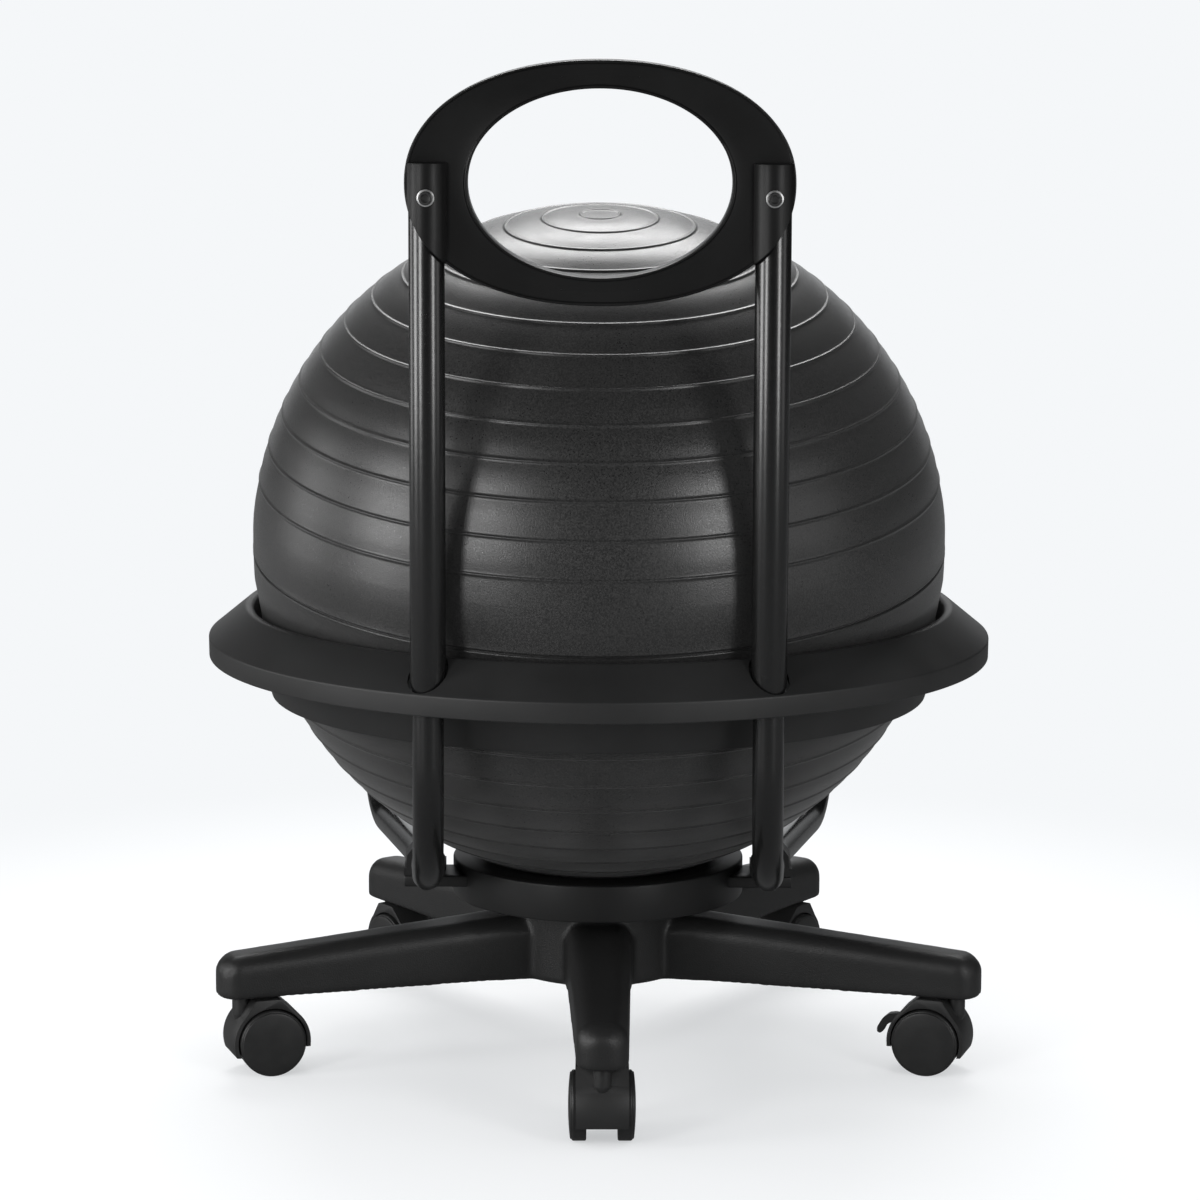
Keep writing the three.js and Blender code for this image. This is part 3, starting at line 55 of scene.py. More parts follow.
Point = tuple[float, float, float]
# The corners of an outline: two coordinates and the radius of the corner's rounding.
Corners = Sequence[tuple[float, float, float]]
# What goes into a node, by the input's place or name.
Inputs = dict["int | str", "Sock | float | Sequence[float]"]


class Side(Enum):
    """The two sides of the chair, seen by someone behind it."""

    LEFT = -1
    RIGHT = 1

    @property
    def word(self) -> str:
        """The side's name as the CAD nodes write it."""
        return self.name.lower()


class Cut(Enum):
    """The ways in which one closed surface can be combined with another."""

    AWAY = "DIFFERENCE"
    JOIN = "UNION"


# Shader arithmetic

class Sock:
    """An output socket of a material, with arithmetic that adds Math nodes."""

    def __init__(self, nodes: "Nodes", socket: bpy.types.NodeSocket) -> None:
        """Keeps the socket and the nodes that it belongs to."""
        self.nodes = nodes
        self.socket = socket

    def _math(self, operation: str, *values: "Sock | float") -> "Sock":
        """Adds one Math node over the given values."""
        return self.nodes.node("ShaderNodeMath", {"operation": operation}, dict(enumerate(values)))

    def __add__(self, other: "Sock | float") -> "Sock":
        """Sum."""
        return self._math("ADD", self, other)

    def __sub__(self, other: "Sock | float") -> "Sock":
        """Difference."""
        return self._math("SUBTRACT", self, other)

    def __rsub__(self, other: float) -> "Sock":
        """Difference from a number."""
        return self._math("SUBTRACT", other, self)

    def __mul__(self, other: "Sock | float") -> "Sock":
        """Product."""
        return self._math("MULTIPLY", self, other)

    def __abs__(self) -> "Sock":
        """Size without sign."""
        return self._math("ABSOLUTE", self)

    def within(self, half_width: float) -> "Sock":
        """One where the value lies within half_width of zero, fading to zero at twice that."""
        return self.nodes.ramp(abs(self), half_width * 2.0, half_width)

    def clamp(self) -> "Sock":
        """The value kept between zero and one."""
        return self.nodes.node("ShaderNodeClamp", {}, {0: self})


class Nodes:
    """A shader's node tree under construction: one method adds any node."""

    def __init__(self, tree: bpy.types.NodeTree) -> None:
        """Starts with an empty tree.

        Args:
            tree: The tree, whose nodes are removed.
        """
        self.tree = tree
        self.tree.nodes.clear()

    def node(
        self,
        kind: str,
        settings: dict[str, object],
        inputs: Inputs,
        output: int | str = 0,
    ) -> Sock:
        """Adds a node.

        Args:
            kind: The node's type name.
            settings: Its properties by name.
            inputs: Its inputs by place or name, each another socket or a constant.
            output: Which of its outputs to hand back.

        Returns:
            The wanted output, wrapped.
        """
        made = self.tree.nodes.new(kind)
        for key, value in settings.items():
            setattr(made, key, value)
        for key, value in inputs.items():
            if isinstance(value, Sock):
                self.tree.links.new(value.socket, made.inputs[key])
            else:
                made.inputs[key].default_value = value
        return Sock(self, made.outputs[output])

    def ramp(self, value: Sock, low: float, high: float) -> Sock:
        """The value's way from low to high, as 0 to 1 with smooth ends."""
        settings = {"interpolation_type": "SMOOTHSTEP"}
        return self.node("ShaderNodeMapRange", settings, {"Value": value, "From Min": low, "From Max": high})

    def ray(self, kind: str) -> Sock:
        """One where the looking ray is of a kind, such as Camera or Glossy, and zero elsewhere."""
        return self.node("ShaderNodeLightPath", {}, {}, f"Is {kind} Ray")

    def output(self, kind: str, shader: Sock) -> None:
        """Leads a shader to the tree's output.

        Args:
            kind: The output node's type name.
            shader: What it shows.
        """
        output = self.tree.nodes.new(kind)
        self.tree.links.new(shader.socket, output.inputs["Surface"])


class Surface(Nodes):
    """A material under construction, on the piece's own coordinates."""

    def __init__(self, name: str) -> None:
        """Starts an empty material.

        Args:
            name: The material's name.
        """
        self.material = bpy.data.materials.new(name)
        self.material.use_nodes = True
        super().__init__(self.material.node_tree)
        self.place = self.node("ShaderNodeTexCoord", {}, {}, "Object")

    def noise(self, scale: float, detail: float, roughness: float, stretch: Point | None = None) -> Sock:
        """A noise value about one half, on the piece's own coordinates.

        Args:
            scale: Cells to the metre.
            detail: How many finer layers it has.
            roughness: How strong the finer layers are.
            stretch: How much faster it runs along each axis, if it does.

        Returns:
            The noise, from 0 to 1.
        """
        place = self.place
        if stretch:
            place = self.node("ShaderNodeMapping", {}, {"Vector": place, "Scale": stretch})
        inputs = {"Vector": place, "Scale": scale, "Detail": detail, "Roughness": roughness}
        return self.node("ShaderNodeTexNoise", {}, inputs, "Fac")

    def cells(self, scale: float) -> Sock:
        """The distance to the nearest of scattered points, for leathery grain.

        Args:
            scale: Points to the metre.

        Returns:
            The distance, 0 at a point.
        """
        inputs = {"Vector": self.place, "Scale": scale}
        return self.node("ShaderNodeTexVoronoi", {"feature": "F1"}, inputs, "Distance")

    def tint(self, share: Sock, dark: Sequence[float], light: "Sequence[float] | Sock") -> Sock:
        """A colour between two, with the share from 0 to 1."""
        return self.node("ShaderNodeMix", {"data_type": "RGBA"}, {0: share, 6: dark, 7: light}, 2)

    def along(self, direction: Point, origin: Point) -> Sock:
        """How far a point lies from an origin along a direction, in metres."""
        offset = self.node("ShaderNodeVectorMath", {"operation": "SUBTRACT"}, {0: self.place, 1: origin})
        product = {"operation": "DOT_PRODUCT"}
        return self.node("ShaderNodeVectorMath", product, {0: offset, 1: direction}, "Value")

    def bump(self, height: Sock, strength: float, distance: float) -> Sock:
        """A normal that follows a height, whose full swing is distance metres."""
        inputs = {"Strength": strength, "Distance": distance, "Height": height}
        return self.node("ShaderNodeBump", {}, inputs, "Normal")

    def finish(self, inputs: Inputs) -> Material:
        """Closes the material with a Principled shader.

        Args:
            inputs: The shader's inputs by name.

        Returns:
            The material.
        """
        self.output("ShaderNodeOutputMaterial", self.node("ShaderNodeBsdfPrincipled", {}, inputs))
        return self.material


def grey(level: float, warmth: float = 0.0) -> tuple[float, float, float, float]:
    """A near-neutral colour: a linear level, with red raised and blue lowered by the warmth share."""
    return (level * (1.0 + warmth), level, level * (1.0 - warmth), 1.0)


@dataclass(frozen=True)
class MouldedPlastic:
    """Black moulded plastic with a fine leathery grain."""

    name: str = "black_moulded_plastic"
    level: float = 0.0092
    roughness: float = 0.46
    specular: float = 0.36
    grain_cells: float = 950.0
    grain_depth: float = 0.00024
    grain_strength: float = 0.6

    def build(self) -> Material:
        """Builds the material: cells with noise between them for grain, slow noise for flow marks."""
        s = Surface(self.name)
        flow = s.noise(14.0, 3.0, 0.55)
        fine = s.noise(self.grain_cells * 2.2, 2.0, 0.6)
        grain = s.cells(self.grain_cells) * 0.65 + fine * 0.35
        share = s.ramp(flow * 0.6 + fine * 0.4, 0.3, 0.7)
        color = s.tint(share, grey(self.level * 0.85), grey(self.level * 1.2))
        rough = (flow - 0.5) * 0.16 + (fine - 0.5) * 0.1 + self.roughness
        return s.finish({
            "Base Color": color,
            "Roughness": rough,
            "Specular IOR Level": self.specular,
            "Normal": s.bump(grain, self.grain_strength, self.grain_depth),
        })


@dataclass(frozen=True)
class PowderCoat:
    """Glossy black powder coat on steel tube, with a faint orange peel."""

    name: str = "gloss_black_powder_coat"
    level: float = 0.0036
    roughness: float = 0.25
    specular: float = 0.62
    peel_cells: float = 260.0
    peel_depth: float = 0.00006

    def build(self) -> Material:
        """Builds the material: soft noise for the peel, finer noise for the roughness."""
        s = Surface(self.name)
        peel = s.noise(self.peel_cells, 2.0, 0.45)
        dust = s.noise(1400.0, 2.0, 0.6)
        rough = (dust - 0.5) * 0.08 + (peel - 0.5) * 0.06 + self.roughness
        color = s.tint(s.ramp(dust, 0.35, 0.7), grey(self.level * 0.9), grey(self.level * 1.3))
        return s.finish({
            "Base Color": color,
            "Roughness": rough,
            "Specular IOR Level": self.specular,
            "Coat Roughness": 0.12,
            "Coat Weight": s.ramp(dust, 0.2, 0.9) * 0.12,
            "Normal": s.bump(peel, 0.35, self.peel_depth),
        })


@dataclass(frozen=True)
class BallVinyl:
    """Charcoal satin vinyl with a fine speckle, and painted shade along the groove of the seam round the
    ball's middle.
    """

    centre: Point
    axis: Point
    flatness: float
    name: str = "charcoal_ball_vinyl"
    level: float = 0.0128
    roughness: float = 0.35
    specular: float = 0.5
    speckle_cells: float = 820.0
    seam_shade_half_width: float = 0.0011

    def build(self) -> Material:
        """Builds the material: speckle in colour and roughness, cloudy wear, pores, and painted shade in the
        seam's groove.
        """
        s = Surface(self.name)
        speckle = s.noise(self.speckle_cells, 2.0, 0.7)
        cloud = s.noise(11.0, 4.0, 0.6)
        scuff = s.noise(60.0, 3.0, 0.6, (1.0, 1.0, 5.0))
        color = s.tint(s.ramp(speckle, 0.35, 0.68), grey(self.level * 0.62), grey(self.level * 1.5, 0.02))
        # Painted shade: the colour darkens along the seam's groove round the ball's middle.
        across = (self.axis[0], self.axis[1], self.axis[2] / self.flatness)
        seam = s.along(across, self.centre).within(self.seam_shade_half_width)
        color = s.tint(seam * 0.75, color, grey(self.level * 0.2))
        rough = (speckle - 0.5) * 0.34 + (cloud - 0.5) * 0.14 + (scuff - 0.5) * 0.08 + self.roughness
        pores = s.cells(1150.0) * 0.3 + speckle * 0.7
        return s.finish({
            "Base Color": color,
            "Roughness": rough,
            "Specular IOR Level": self.specular,
            "Sheen Weight": 0.06,
            "Sheen Roughness": 0.5,
            "Normal": s.bump(pores, 0.45, 0.0003),
        })


@dataclass(frozen=True)
class SatinPlastic:
    """Smooth black plastic of the wheels and their discs."""

    name: str = "satin_black_wheel"
    level: float = 0.0105
    roughness: float = 0.42
    specular: float = 0.36

    def build(self) -> Material:
        """Builds the material: faint handling marks in the roughness, a very fine matt texture."""
        s = Surface(self.name)
        marks = s.noise(90.0, 3.0, 0.6)
        fine = s.noise(1900.0, 2.0, 0.5)
        color = s.tint(s.ramp(marks, 0.3, 0.75), grey(self.level * 0.9), grey(self.level * 1.15))
        return s.finish({
            "Base Color": color,
            "Roughness": (marks - 0.5) * 0.16 + (fine - 0.5) * 0.08 + self.roughness,
            "Specular IOR Level": self.specular,
            "Normal": s.bump(fine, 0.25, 0.00005),
        })


@dataclass(frozen=True)
class PlatedSteel:
    """Bare or plated steel of screws, washers and pins, with turning marks."""

    name: str
    level: float
    roughness: float
    metallic: float = 1.0

    def build(self) -> Material:
        """Builds the material: fine noise stretched along the height for turning marks."""
        s = Surface(self.name)
        marks = s.noise(500.0, 3.0, 0.6, (1.0, 1.0, 6.0))
        color = s.tint(s.ramp(marks, 0.3, 0.7), grey(self.level * 0.8), grey(self.level * 1.1))
        return s.finish({
            "Base Color": color,
            "Roughness": (marks - 0.5) * 0.2 + self.roughness,
            "Metallic": self.metallic,
            "Normal": s.bump(marks, 0.3, 0.00004),
        })


# Surfaces from numpy


def quads(rows: int, columns: int, wrap_rows: bool, wrap_columns: bool) -> np.ndarray:
    """The four corners of each cell of a grid whose points are counted row by row.

    Args:
        rows: How many rows of points.
        columns: How many points in a row.
        wrap_rows: Whether the last row joins the first.
        wrap_columns: Whether the last point of a row joins its first.

    Returns:
        An array of cells by four point numbers.
    """
    row = np.arange(rows if wrap_rows else rows - 1)[:, None]
    column = np.arange(columns if wrap_columns else columns - 1)[None, :]
    next_row, next_column = (row + 1) % rows, (column + 1) % columns
    here, there = row * columns, next_row * columns
    corners = (here + column, here + next_column, there + next_column, there + column)
    return np.stack(np.broadcast_arrays(*corners), axis=-1).reshape(-1, 4)


def grid_mesh(
    name: str,
    points: np.ndarray,
    wrap_rows: bool = False,
    wrap_columns: bool = False,
    sharp: float = 40.0,
) -> Mesh:
    """A closed mesh over a grid of points: doubles merge, open ends are capped, faces point out.

    Args:
        name: The mesh's name.
        points: Rows by columns by three coordinates, in metres.
        wrap_rows: Whether the last row joins the first.
        wrap_columns: Whether each row closes on itself.
        sharp: The angle in degrees past which an edge stays hard.

    Returns:
        The mesh.
    """
    rows, columns = points.shape[:2]
    mesh = bpy.data.meshes.new(name)
    mesh.from_pydata(points.reshape(-1, 3), [], quads(rows, columns, wrap_rows, wrap_columns))
    return closed(mesh, sharp)


def closed(mesh: Mesh, sharp: float = 40.0, merge: float = 1e-6) -> Mesh:
    """Merges doubles, caps open ends, points the faces out and shades smooth up to an angle.

    Args:
        mesh: The mesh to close, changed in place.
        sharp: The angle in degrees past which an edge stays hard.
        merge: How near two points are one, in metres.

    Returns:
        The same mesh.
    """
    work = bmesh.new()
    work.from_mesh(mesh)
    bmesh.ops.remove_doubles(work, verts=work.verts, dist=merge)
    bmesh.ops.holes_fill(work, edges=[edge for edge in work.edges if edge.is_boundary])
    bmesh.ops.recalc_face_normals(work, faces=work.faces)
    work.to_mesh(mesh)
    work.free()
    mesh.shade_smooth()
    mesh.set_sharp_from_angle(angle=math.radians(sharp))
    mesh.update()
    return mesh


def turn(steps: int) -> np.ndarray:
    """Equal angles round a full turn, the last one short of the first."""
    return np.linspace(0.0, 2.0 * math.pi, steps, endpoint=False)


def turned(profile: np.ndarray, steps: int) -> np.ndarray:
    """The points (radius cos angle, radius sin angle, height) for each profile point and each angle."""
    radius, height = profile[:, 0:1], profile[:, 1:2]
    angles = turn(steps)
    return np.stack([radius * np.cos(angles), radius * np.sin(angles), height + 0.0 * angles], axis=-1)


def revolved(
    name: str,
    profile: np.ndarray,
    steps: int,
    loop: bool = False,
    sharp: float = 40.0,
) -> Mesh:
    """A profile of radius and height carried round the upright axis.

    Args:
        name: The mesh's name.
        profile: Points by radius and height.
        steps: How many columns there are round the axis.
        loop: Whether the profile closes on itself.
        sharp: The angle in degrees past which an edge stays hard.

    Returns:
        The mesh.
    """
    return grid_mesh(name, turned(profile, steps), wrap_rows=loop, wrap_columns=True, sharp=sharp)


def arc(centre: tuple[float, float], radius: float, start: float, end: float, steps: int) -> np.ndarray:
    """Points on a circle between two angles in degrees: centre plus radius times (cos, sin)."""
    angle = np.radians(np.linspace(start, end, steps))
    return np.stack([centre[0] + radius * np.cos(angle), centre[1] + radius * np.sin(angle)], axis=-1)


def bend(
    before: np.ndarray,
    corner: np.ndarray,
    after: np.ndarray,
    radius: float,
    steps: int | Callable[[float], int],
) -> np.ndarray:
    """The arc that touches both sides of a corner.

    It starts at distance radius times the tangent of half the turn before the corner, and its points are
    start + radius (into sin angle + side (1 - cos angle)).

    Args:
        before: The corner before this one.
        corner: The corner that is rounded.
        after: The corner after it.
        radius: The arc's radius.
        steps: How many points it has, or a function that gives that for the arc's angle.

    Returns:
        The arc's points.
    """
    into = (corner - before) / np.linalg.norm(corner - before)
    out = (after - corner) / np.linalg.norm(after - corner)
    swing = math.acos(float(np.clip(into @ out, -1.0, 1.0)))
    side = out - (out @ into) * into
    side /= max(np.linalg.norm(side), 1e-12)
    start = corner - into * radius * math.tan(swing / 2.0)
    angle = np.linspace(0.0, swing, steps(swing) if callable(steps) else steps)[:, None]
    return start + radius * (into * np.sin(angle) + side * (1.0 - np.cos(angle)))


def rounded(corners: Corners, steps: int = 5, loop: bool = True) -> np.ndarray:
    """An outline through corners given as (x, y, radius), each rounded by an arc that touches both its sides.

    Args:
        corners: The corners in order.
        steps: Points on each arc.
        loop: Whether the outline closes on itself; if not, its first and last corners stay sharp.

    Returns:
        The outline's points.
    """
    spots = np.array([corner[:2] for corner in corners])
    parts = []
    for i, (x, y, radius) in enumerate(corners):
        if radius <= 0 or (not loop and i in (0, len(corners) - 1)):
            parts.append(np.array([[x, y]]))
        else:
            parts.append(bend(spots[i - 1], spots[i], spots[(i + 1) % len(corners)], radius, steps))
    return np.concatenate(parts)


def bent(corners: np.ndarray, radii: Sequence[float], spacing: float) -> np.ndarray:
    """A path of straight runs through corners, with a bend of its own radius at each inner one.

    Args:
        corners: The corners in space.
        radii: The radius of each inner corner's bend.
        spacing: About how far apart the path's points are.

    Returns:
        The path's points.
    """
    parts = []
    last = corners[0]
    for i, radius in enumerate(radii, start=1):
        curve = bend(*corners[i - 1:i + 2], radius, lambda swing: max(6, int(radius * swing / spacing)))
        run = max(3, int(np.linalg.norm(curve[0] - last) / (spacing * 3.0)))
        parts += [np.linspace(last, curve[0], run, endpoint=False), curve[:-1]]
        last = curve[-1]
    parts.append(np.linspace(last, corners[-1], 8))
    return np.concatenate(parts)


def swept(name: str, path: np.ndarray, radius: float, sides: int) -> Mesh:
    """A round bar along a path that nowhere runs along x.

    Point = path + radius (n cos angle + b sin angle), where n is +X made square to the path and b is the
    path's direction crossed with n.

    Args:
        name: The mesh's name.
        path: The middle line's points.
        radius: The bar's radius.
        sides: Points round the section.

    Returns:
        The mesh, with flat ends.
    """
    forward = np.gradient(path, axis=0)
    forward /= np.linalg.norm(forward, axis=1, keepdims=True)
    side = np.array([1.0, 0.0, 0.0]) - forward[:, :1] * forward
    side /= np.linalg.norm(side, axis=1, keepdims=True)
    up = np.cross(forward, side)
    angle = turn(sides)
    ring = np.cos(angle)[None, :, None] * side[:, None, :] + np.sin(angle)[None, :, None] * up[:, None, :]
    return grid_mesh(name, path[:, None, :] + radius * ring, wrap_columns=True)


def rounded_box(name: str, low: Point, high: Point, radius: float, steps: int = 4) -> Mesh:
    """A box with rounded edges: a sphere's surface pulled apart to the box's corners.

    Point = centre + (half size - radius) times the sign of the direction + radius times the direction, with
    each eighth of the sphere keeping its own signs.

    Args:
        name: The mesh's name.
        low: The lowest corner.
        high: The highest corner.
        radius: The edges' radius.
        steps: Points along each rounded edge.

    Returns:
        The mesh.
    """
    low_corner, high_corner = np.array(low), np.array(high)
    centre, half = (low_corner + high_corner) / 2.0, (high_corner - low_corner) / 2.0
    quarter = np.linspace(0.0, math.pi / 2.0, steps)
    polar = np.concatenate([quarter, quarter + math.pi / 2.0])
    polar_sign = np.repeat([1.0, -1.0], steps)
    azimuth = np.concatenate([quarter + k * math.pi / 2.0 for k in range(4)])
    signs = np.repeat(np.array([[1.0, 1.0], [-1.0, 1.0], [-1.0, -1.0], [1.0, -1.0]]), steps, axis=0)
    level, upright = np.sin(polar)[:, None], np.cos(polar)[:, None]
    direction = np.stack([level * np.cos(azimuth), level * np.sin(azimuth), upright + 0.0 * azimuth], axis=-1)
    sign = np.stack(np.broadcast_arrays(signs[None, :, 0], signs[None, :, 1], polar_sign[:, None]), axis=-1)
    return grid_mesh(name, centre + (half - radius) * sign + radius * direction, wrap_columns=True)


def inward(outline: np.ndarray) -> np.ndarray:
    """The unit direction into a closed outline at each point: its neighbours' difference, turned square."""
    ahead = np.roll(outline, -1, axis=0) - np.roll(outline, 1, axis=0)
    ahead /= np.linalg.norm(ahead, axis=1, keepdims=True)
    x, y = outline.T
    area = float(np.sum(x * np.roll(y, -1) - np.roll(x, -1) * y))
    return np.stack([-ahead[:, 1], ahead[:, 0]], axis=-1) * math.copysign(1.0, area)


def layers(outline: np.ndarray, levels: Sequence[tuple[float, float]], axis: int) -> np.ndarray:
    """Rows of points: the outline at each level's place along an axis, drawn in by the level's inset."""
    rows = [np.insert(outline + inward(outline) * inset, axis, place, axis=1) for place, inset in levels]
    return np.stack(rows)


def prism(name: str, outline: np.ndarray, rear: float, front: float, edge: float = 0.0) -> Mesh:
    """A flat outline in x and z made thick along y, its long edges eased by a narrow slope.

    Rows are the outline at y = rear, rear + edge, front - edge and front, the outer two drawn in by the edge.

    Args:
        name: The mesh's name.
        outline: Points by x and z, in order.
        rear: The lower y.
        front: The higher y.
        edge: The width of the eased edge.

    Returns:
        The mesh.
    """
    levels = [(rear, edge), (rear + edge, 0.0), (front - edge, 0.0), (front, edge)]
    rows = layers(outline, levels if edge else levels[::3], 1)
    return grid_mesh(name, rows, wrap_columns=True, sharp=30.0)


def rod(start: Point, end: Point, radius: float, sides: int = 48) -> Mesh:
    """A straight round bar between two points that doesn't run along x, to cut with or to join."""
    return swept("rod", np.linspace(np.array(start), np.array(end), 3), radius, sides)


def evaluated(body: bpy.types.Object, name: str, *helpers: bpy.types.Object) -> Mesh:
    """Applies an object's modifiers.

    Args:
        body: The object, which is used up with its mesh.
        name: The new mesh's name.
        helpers: Objects that the modifiers need, which are used up too.

    Returns:
        The resulting mesh.
    """
    bpy.context.view_layer.update()
    result = bpy.data.meshes.new_from_object(body.evaluated_get(bpy.context.evaluated_depsgraph_get()))
    mesh = body.data
    for extra in (body, *helpers):
        bpy.data.objects.remove(extra)
    bpy.data.meshes.remove(mesh)
    result.name = name
    return result


def linked(name: str, data: bpy.types.ID | None) -> bpy.types.Object:
    """A new object in the scene's collection."""
    made = bpy.data.objects.new(name, data)
    bpy.context.collection.objects.link(made)
    return made


def combine(mesh: Mesh, *tools: tuple[Cut, Mesh]) -> Mesh:
    """Cuts or joins a closed mesh with others, one after another.

    Args:
        mesh: The mesh to work on.
        tools: Pairs of what to do and the mesh to do it with.

    Returns:
        The resulting mesh, under the first mesh's name.
    """
    body = linked("work", mesh)
    helpers = [linked("work_tool", tool) for _, tool in tools]
    for (what, _), helper in zip(tools, helpers):
        step = body.modifiers.new("cut", "BOOLEAN")
        step.operation = what.value
        step.solver = "EXACT"
        step.object = helper
    return closed(evaluated(body, mesh.name, *helpers), sharp=32.0, merge=2e-6)


def eased(mesh: Mesh, width: float, least_angle: float = 42.0) -> Mesh:
    """Rounds the hard edges of a mesh.

    Args:
        mesh: The mesh to ease.
        width: The rounding's width in metres.
        least_angle: The least angle of an edge that is rounded, in degrees.

    Returns:
        A new mesh under the same name.
    """
    body = linked("work", mesh)
    step = body.modifiers.new("ease", "BEVEL")
    step.width = width
    step.segments = 2
    step.limit_method = "ANGLE"
    step.angle_limit = math.radians(least_angle)
    step.use_clamp_overlap = True
    step.harden_normals = False
    return closed(evaluated(body, mesh.name), sharp=50.0)


def fused(name: str, meshes: Sequence[Mesh], voxel: float, smoothing: int) -> Mesh:
    """Melts overlapping closed meshes into one skin with small fillets where they meet.

    Args:
        name: The new mesh's name.
        meshes: The meshes, which are used up.
        voxel: The skin's cell size in metres.
        smoothing: Rounds of smoothing after it.

    Returns:
        The mesh.
    """
    body = linked("work", together(name + "_parts", meshes))
    skin = body.modifiers.new("skin", "REMESH")
    skin.mode = "VOXEL"
    skin.voxel_size = voxel
    soften = body.modifiers.new("soften", "SMOOTH")
    soften.factor = 0.5
    soften.iterations = smoothing
    result = evaluated(body, name)
    result.shade_smooth()
    return result


def together(name: str, meshes: Sequence[Mesh]) -> Mesh:
    """One mesh that holds several, which are used up."""
    work = bmesh.new()
    for mesh in meshes:
        work.from_mesh(mesh)
        bpy.data.meshes.remove(mesh)
    result = bpy.data.meshes.new(name)
    work.to_mesh(result)
    work.free()
    result.shade_smooth()
    result.set_sharp_from_angle(angle=math.radians(40.0))
    return result


def placed(mesh: Mesh, name: str, matrix: Matrix) -> Mesh:
    """A copy of a mesh with its points moved by a matrix."""
    copy = mesh.copy()
    copy.name = name
    copy.transform(matrix)
    copy.update()
    return copy


# Pieces


class Workshop:
    """Builds the finishes once and turns meshes into named pieces on their bodies."""

    def __init__(self, ball_skin: BallVinyl) -> None:
        """Builds every finish.

        Args:
            ball_skin: The ball's finish, which needs the ball's sizes.
        """
        self.plastic = MouldedPlastic().build()
        self.ring_plastic = MouldedPlastic(
            "black_ring_plastic", level=0.0105, roughness=0.5, grain_cells=1150.0, grain_depth=0.0001,
            grain_strength=0.4,
        ).build()
        fine = MouldedPlastic(grain_cells=1500.0, grain_depth=0.00006, grain_strength=0.3)
        smooth = replace(fine, name="black_smooth_plastic", level=0.006, roughness=0.42)
        self.smooth_plastic = smooth.build()
        backrest = replace(smooth, name="black_backrest_plastic", level=0.0034, specular=0.22)
        self.backrest_plastic = backrest.build()
        hood = replace(fine, name="black_hood_plastic", level=0.011, specular=0.38, grain_cells=1700.0)
        self.hood_plastic = hood.build()
        self.coat = PowderCoat().build()
        self.vinyl = ball_skin.build()
        self.wheel = SatinPlastic().build()
        self.tread = SatinPlastic(name="black_tread", level=0.0085, roughness=0.55, specular=0.3).build()
        self.steel = PlatedSteel("turned_steel", level=0.52, roughness=0.34).build()
        self.zinc = PlatedSteel("zinc_plate", level=0.68, roughness=0.36).build()
        black = PlatedSteel("black_oxide_steel", level=0.035, roughness=0.38, metallic=0.6)
        self.black_steel = black.build()

    def piece(self, mesh: Mesh, body: str, slot: str, materials: Sequence[Material], *nodes: str) -> None:
        """Makes a named piece at the origin that rides on a body.

        Args:
            mesh: Its mesh, in the frame; its name is the piece's name.
            body: The body that it rides on.
            slot: The record's material slot; not used.
            materials: Its materials, in the mesh's order.
            nodes: The CAD nodes that it stands for.
        """
        made = linked(mesh.name, mesh)
        mesh.materials.clear()
        for material in materials:
            mesh.materials.append(material)
        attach(made, body)
        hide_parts(*nodes)
        LOG.info("%s: %d faces, rides on %s", made.name, len(mesh.polygons), body)

    def dress(self, node: str, material: Material) -> None:
        """Gives a CAD node that stays in view its material."""
        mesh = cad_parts[node].data
        mesh.materials.clear()
        mesh.materials.append(material)
        LOG.info("%s: dressed in %s", node, material.name)


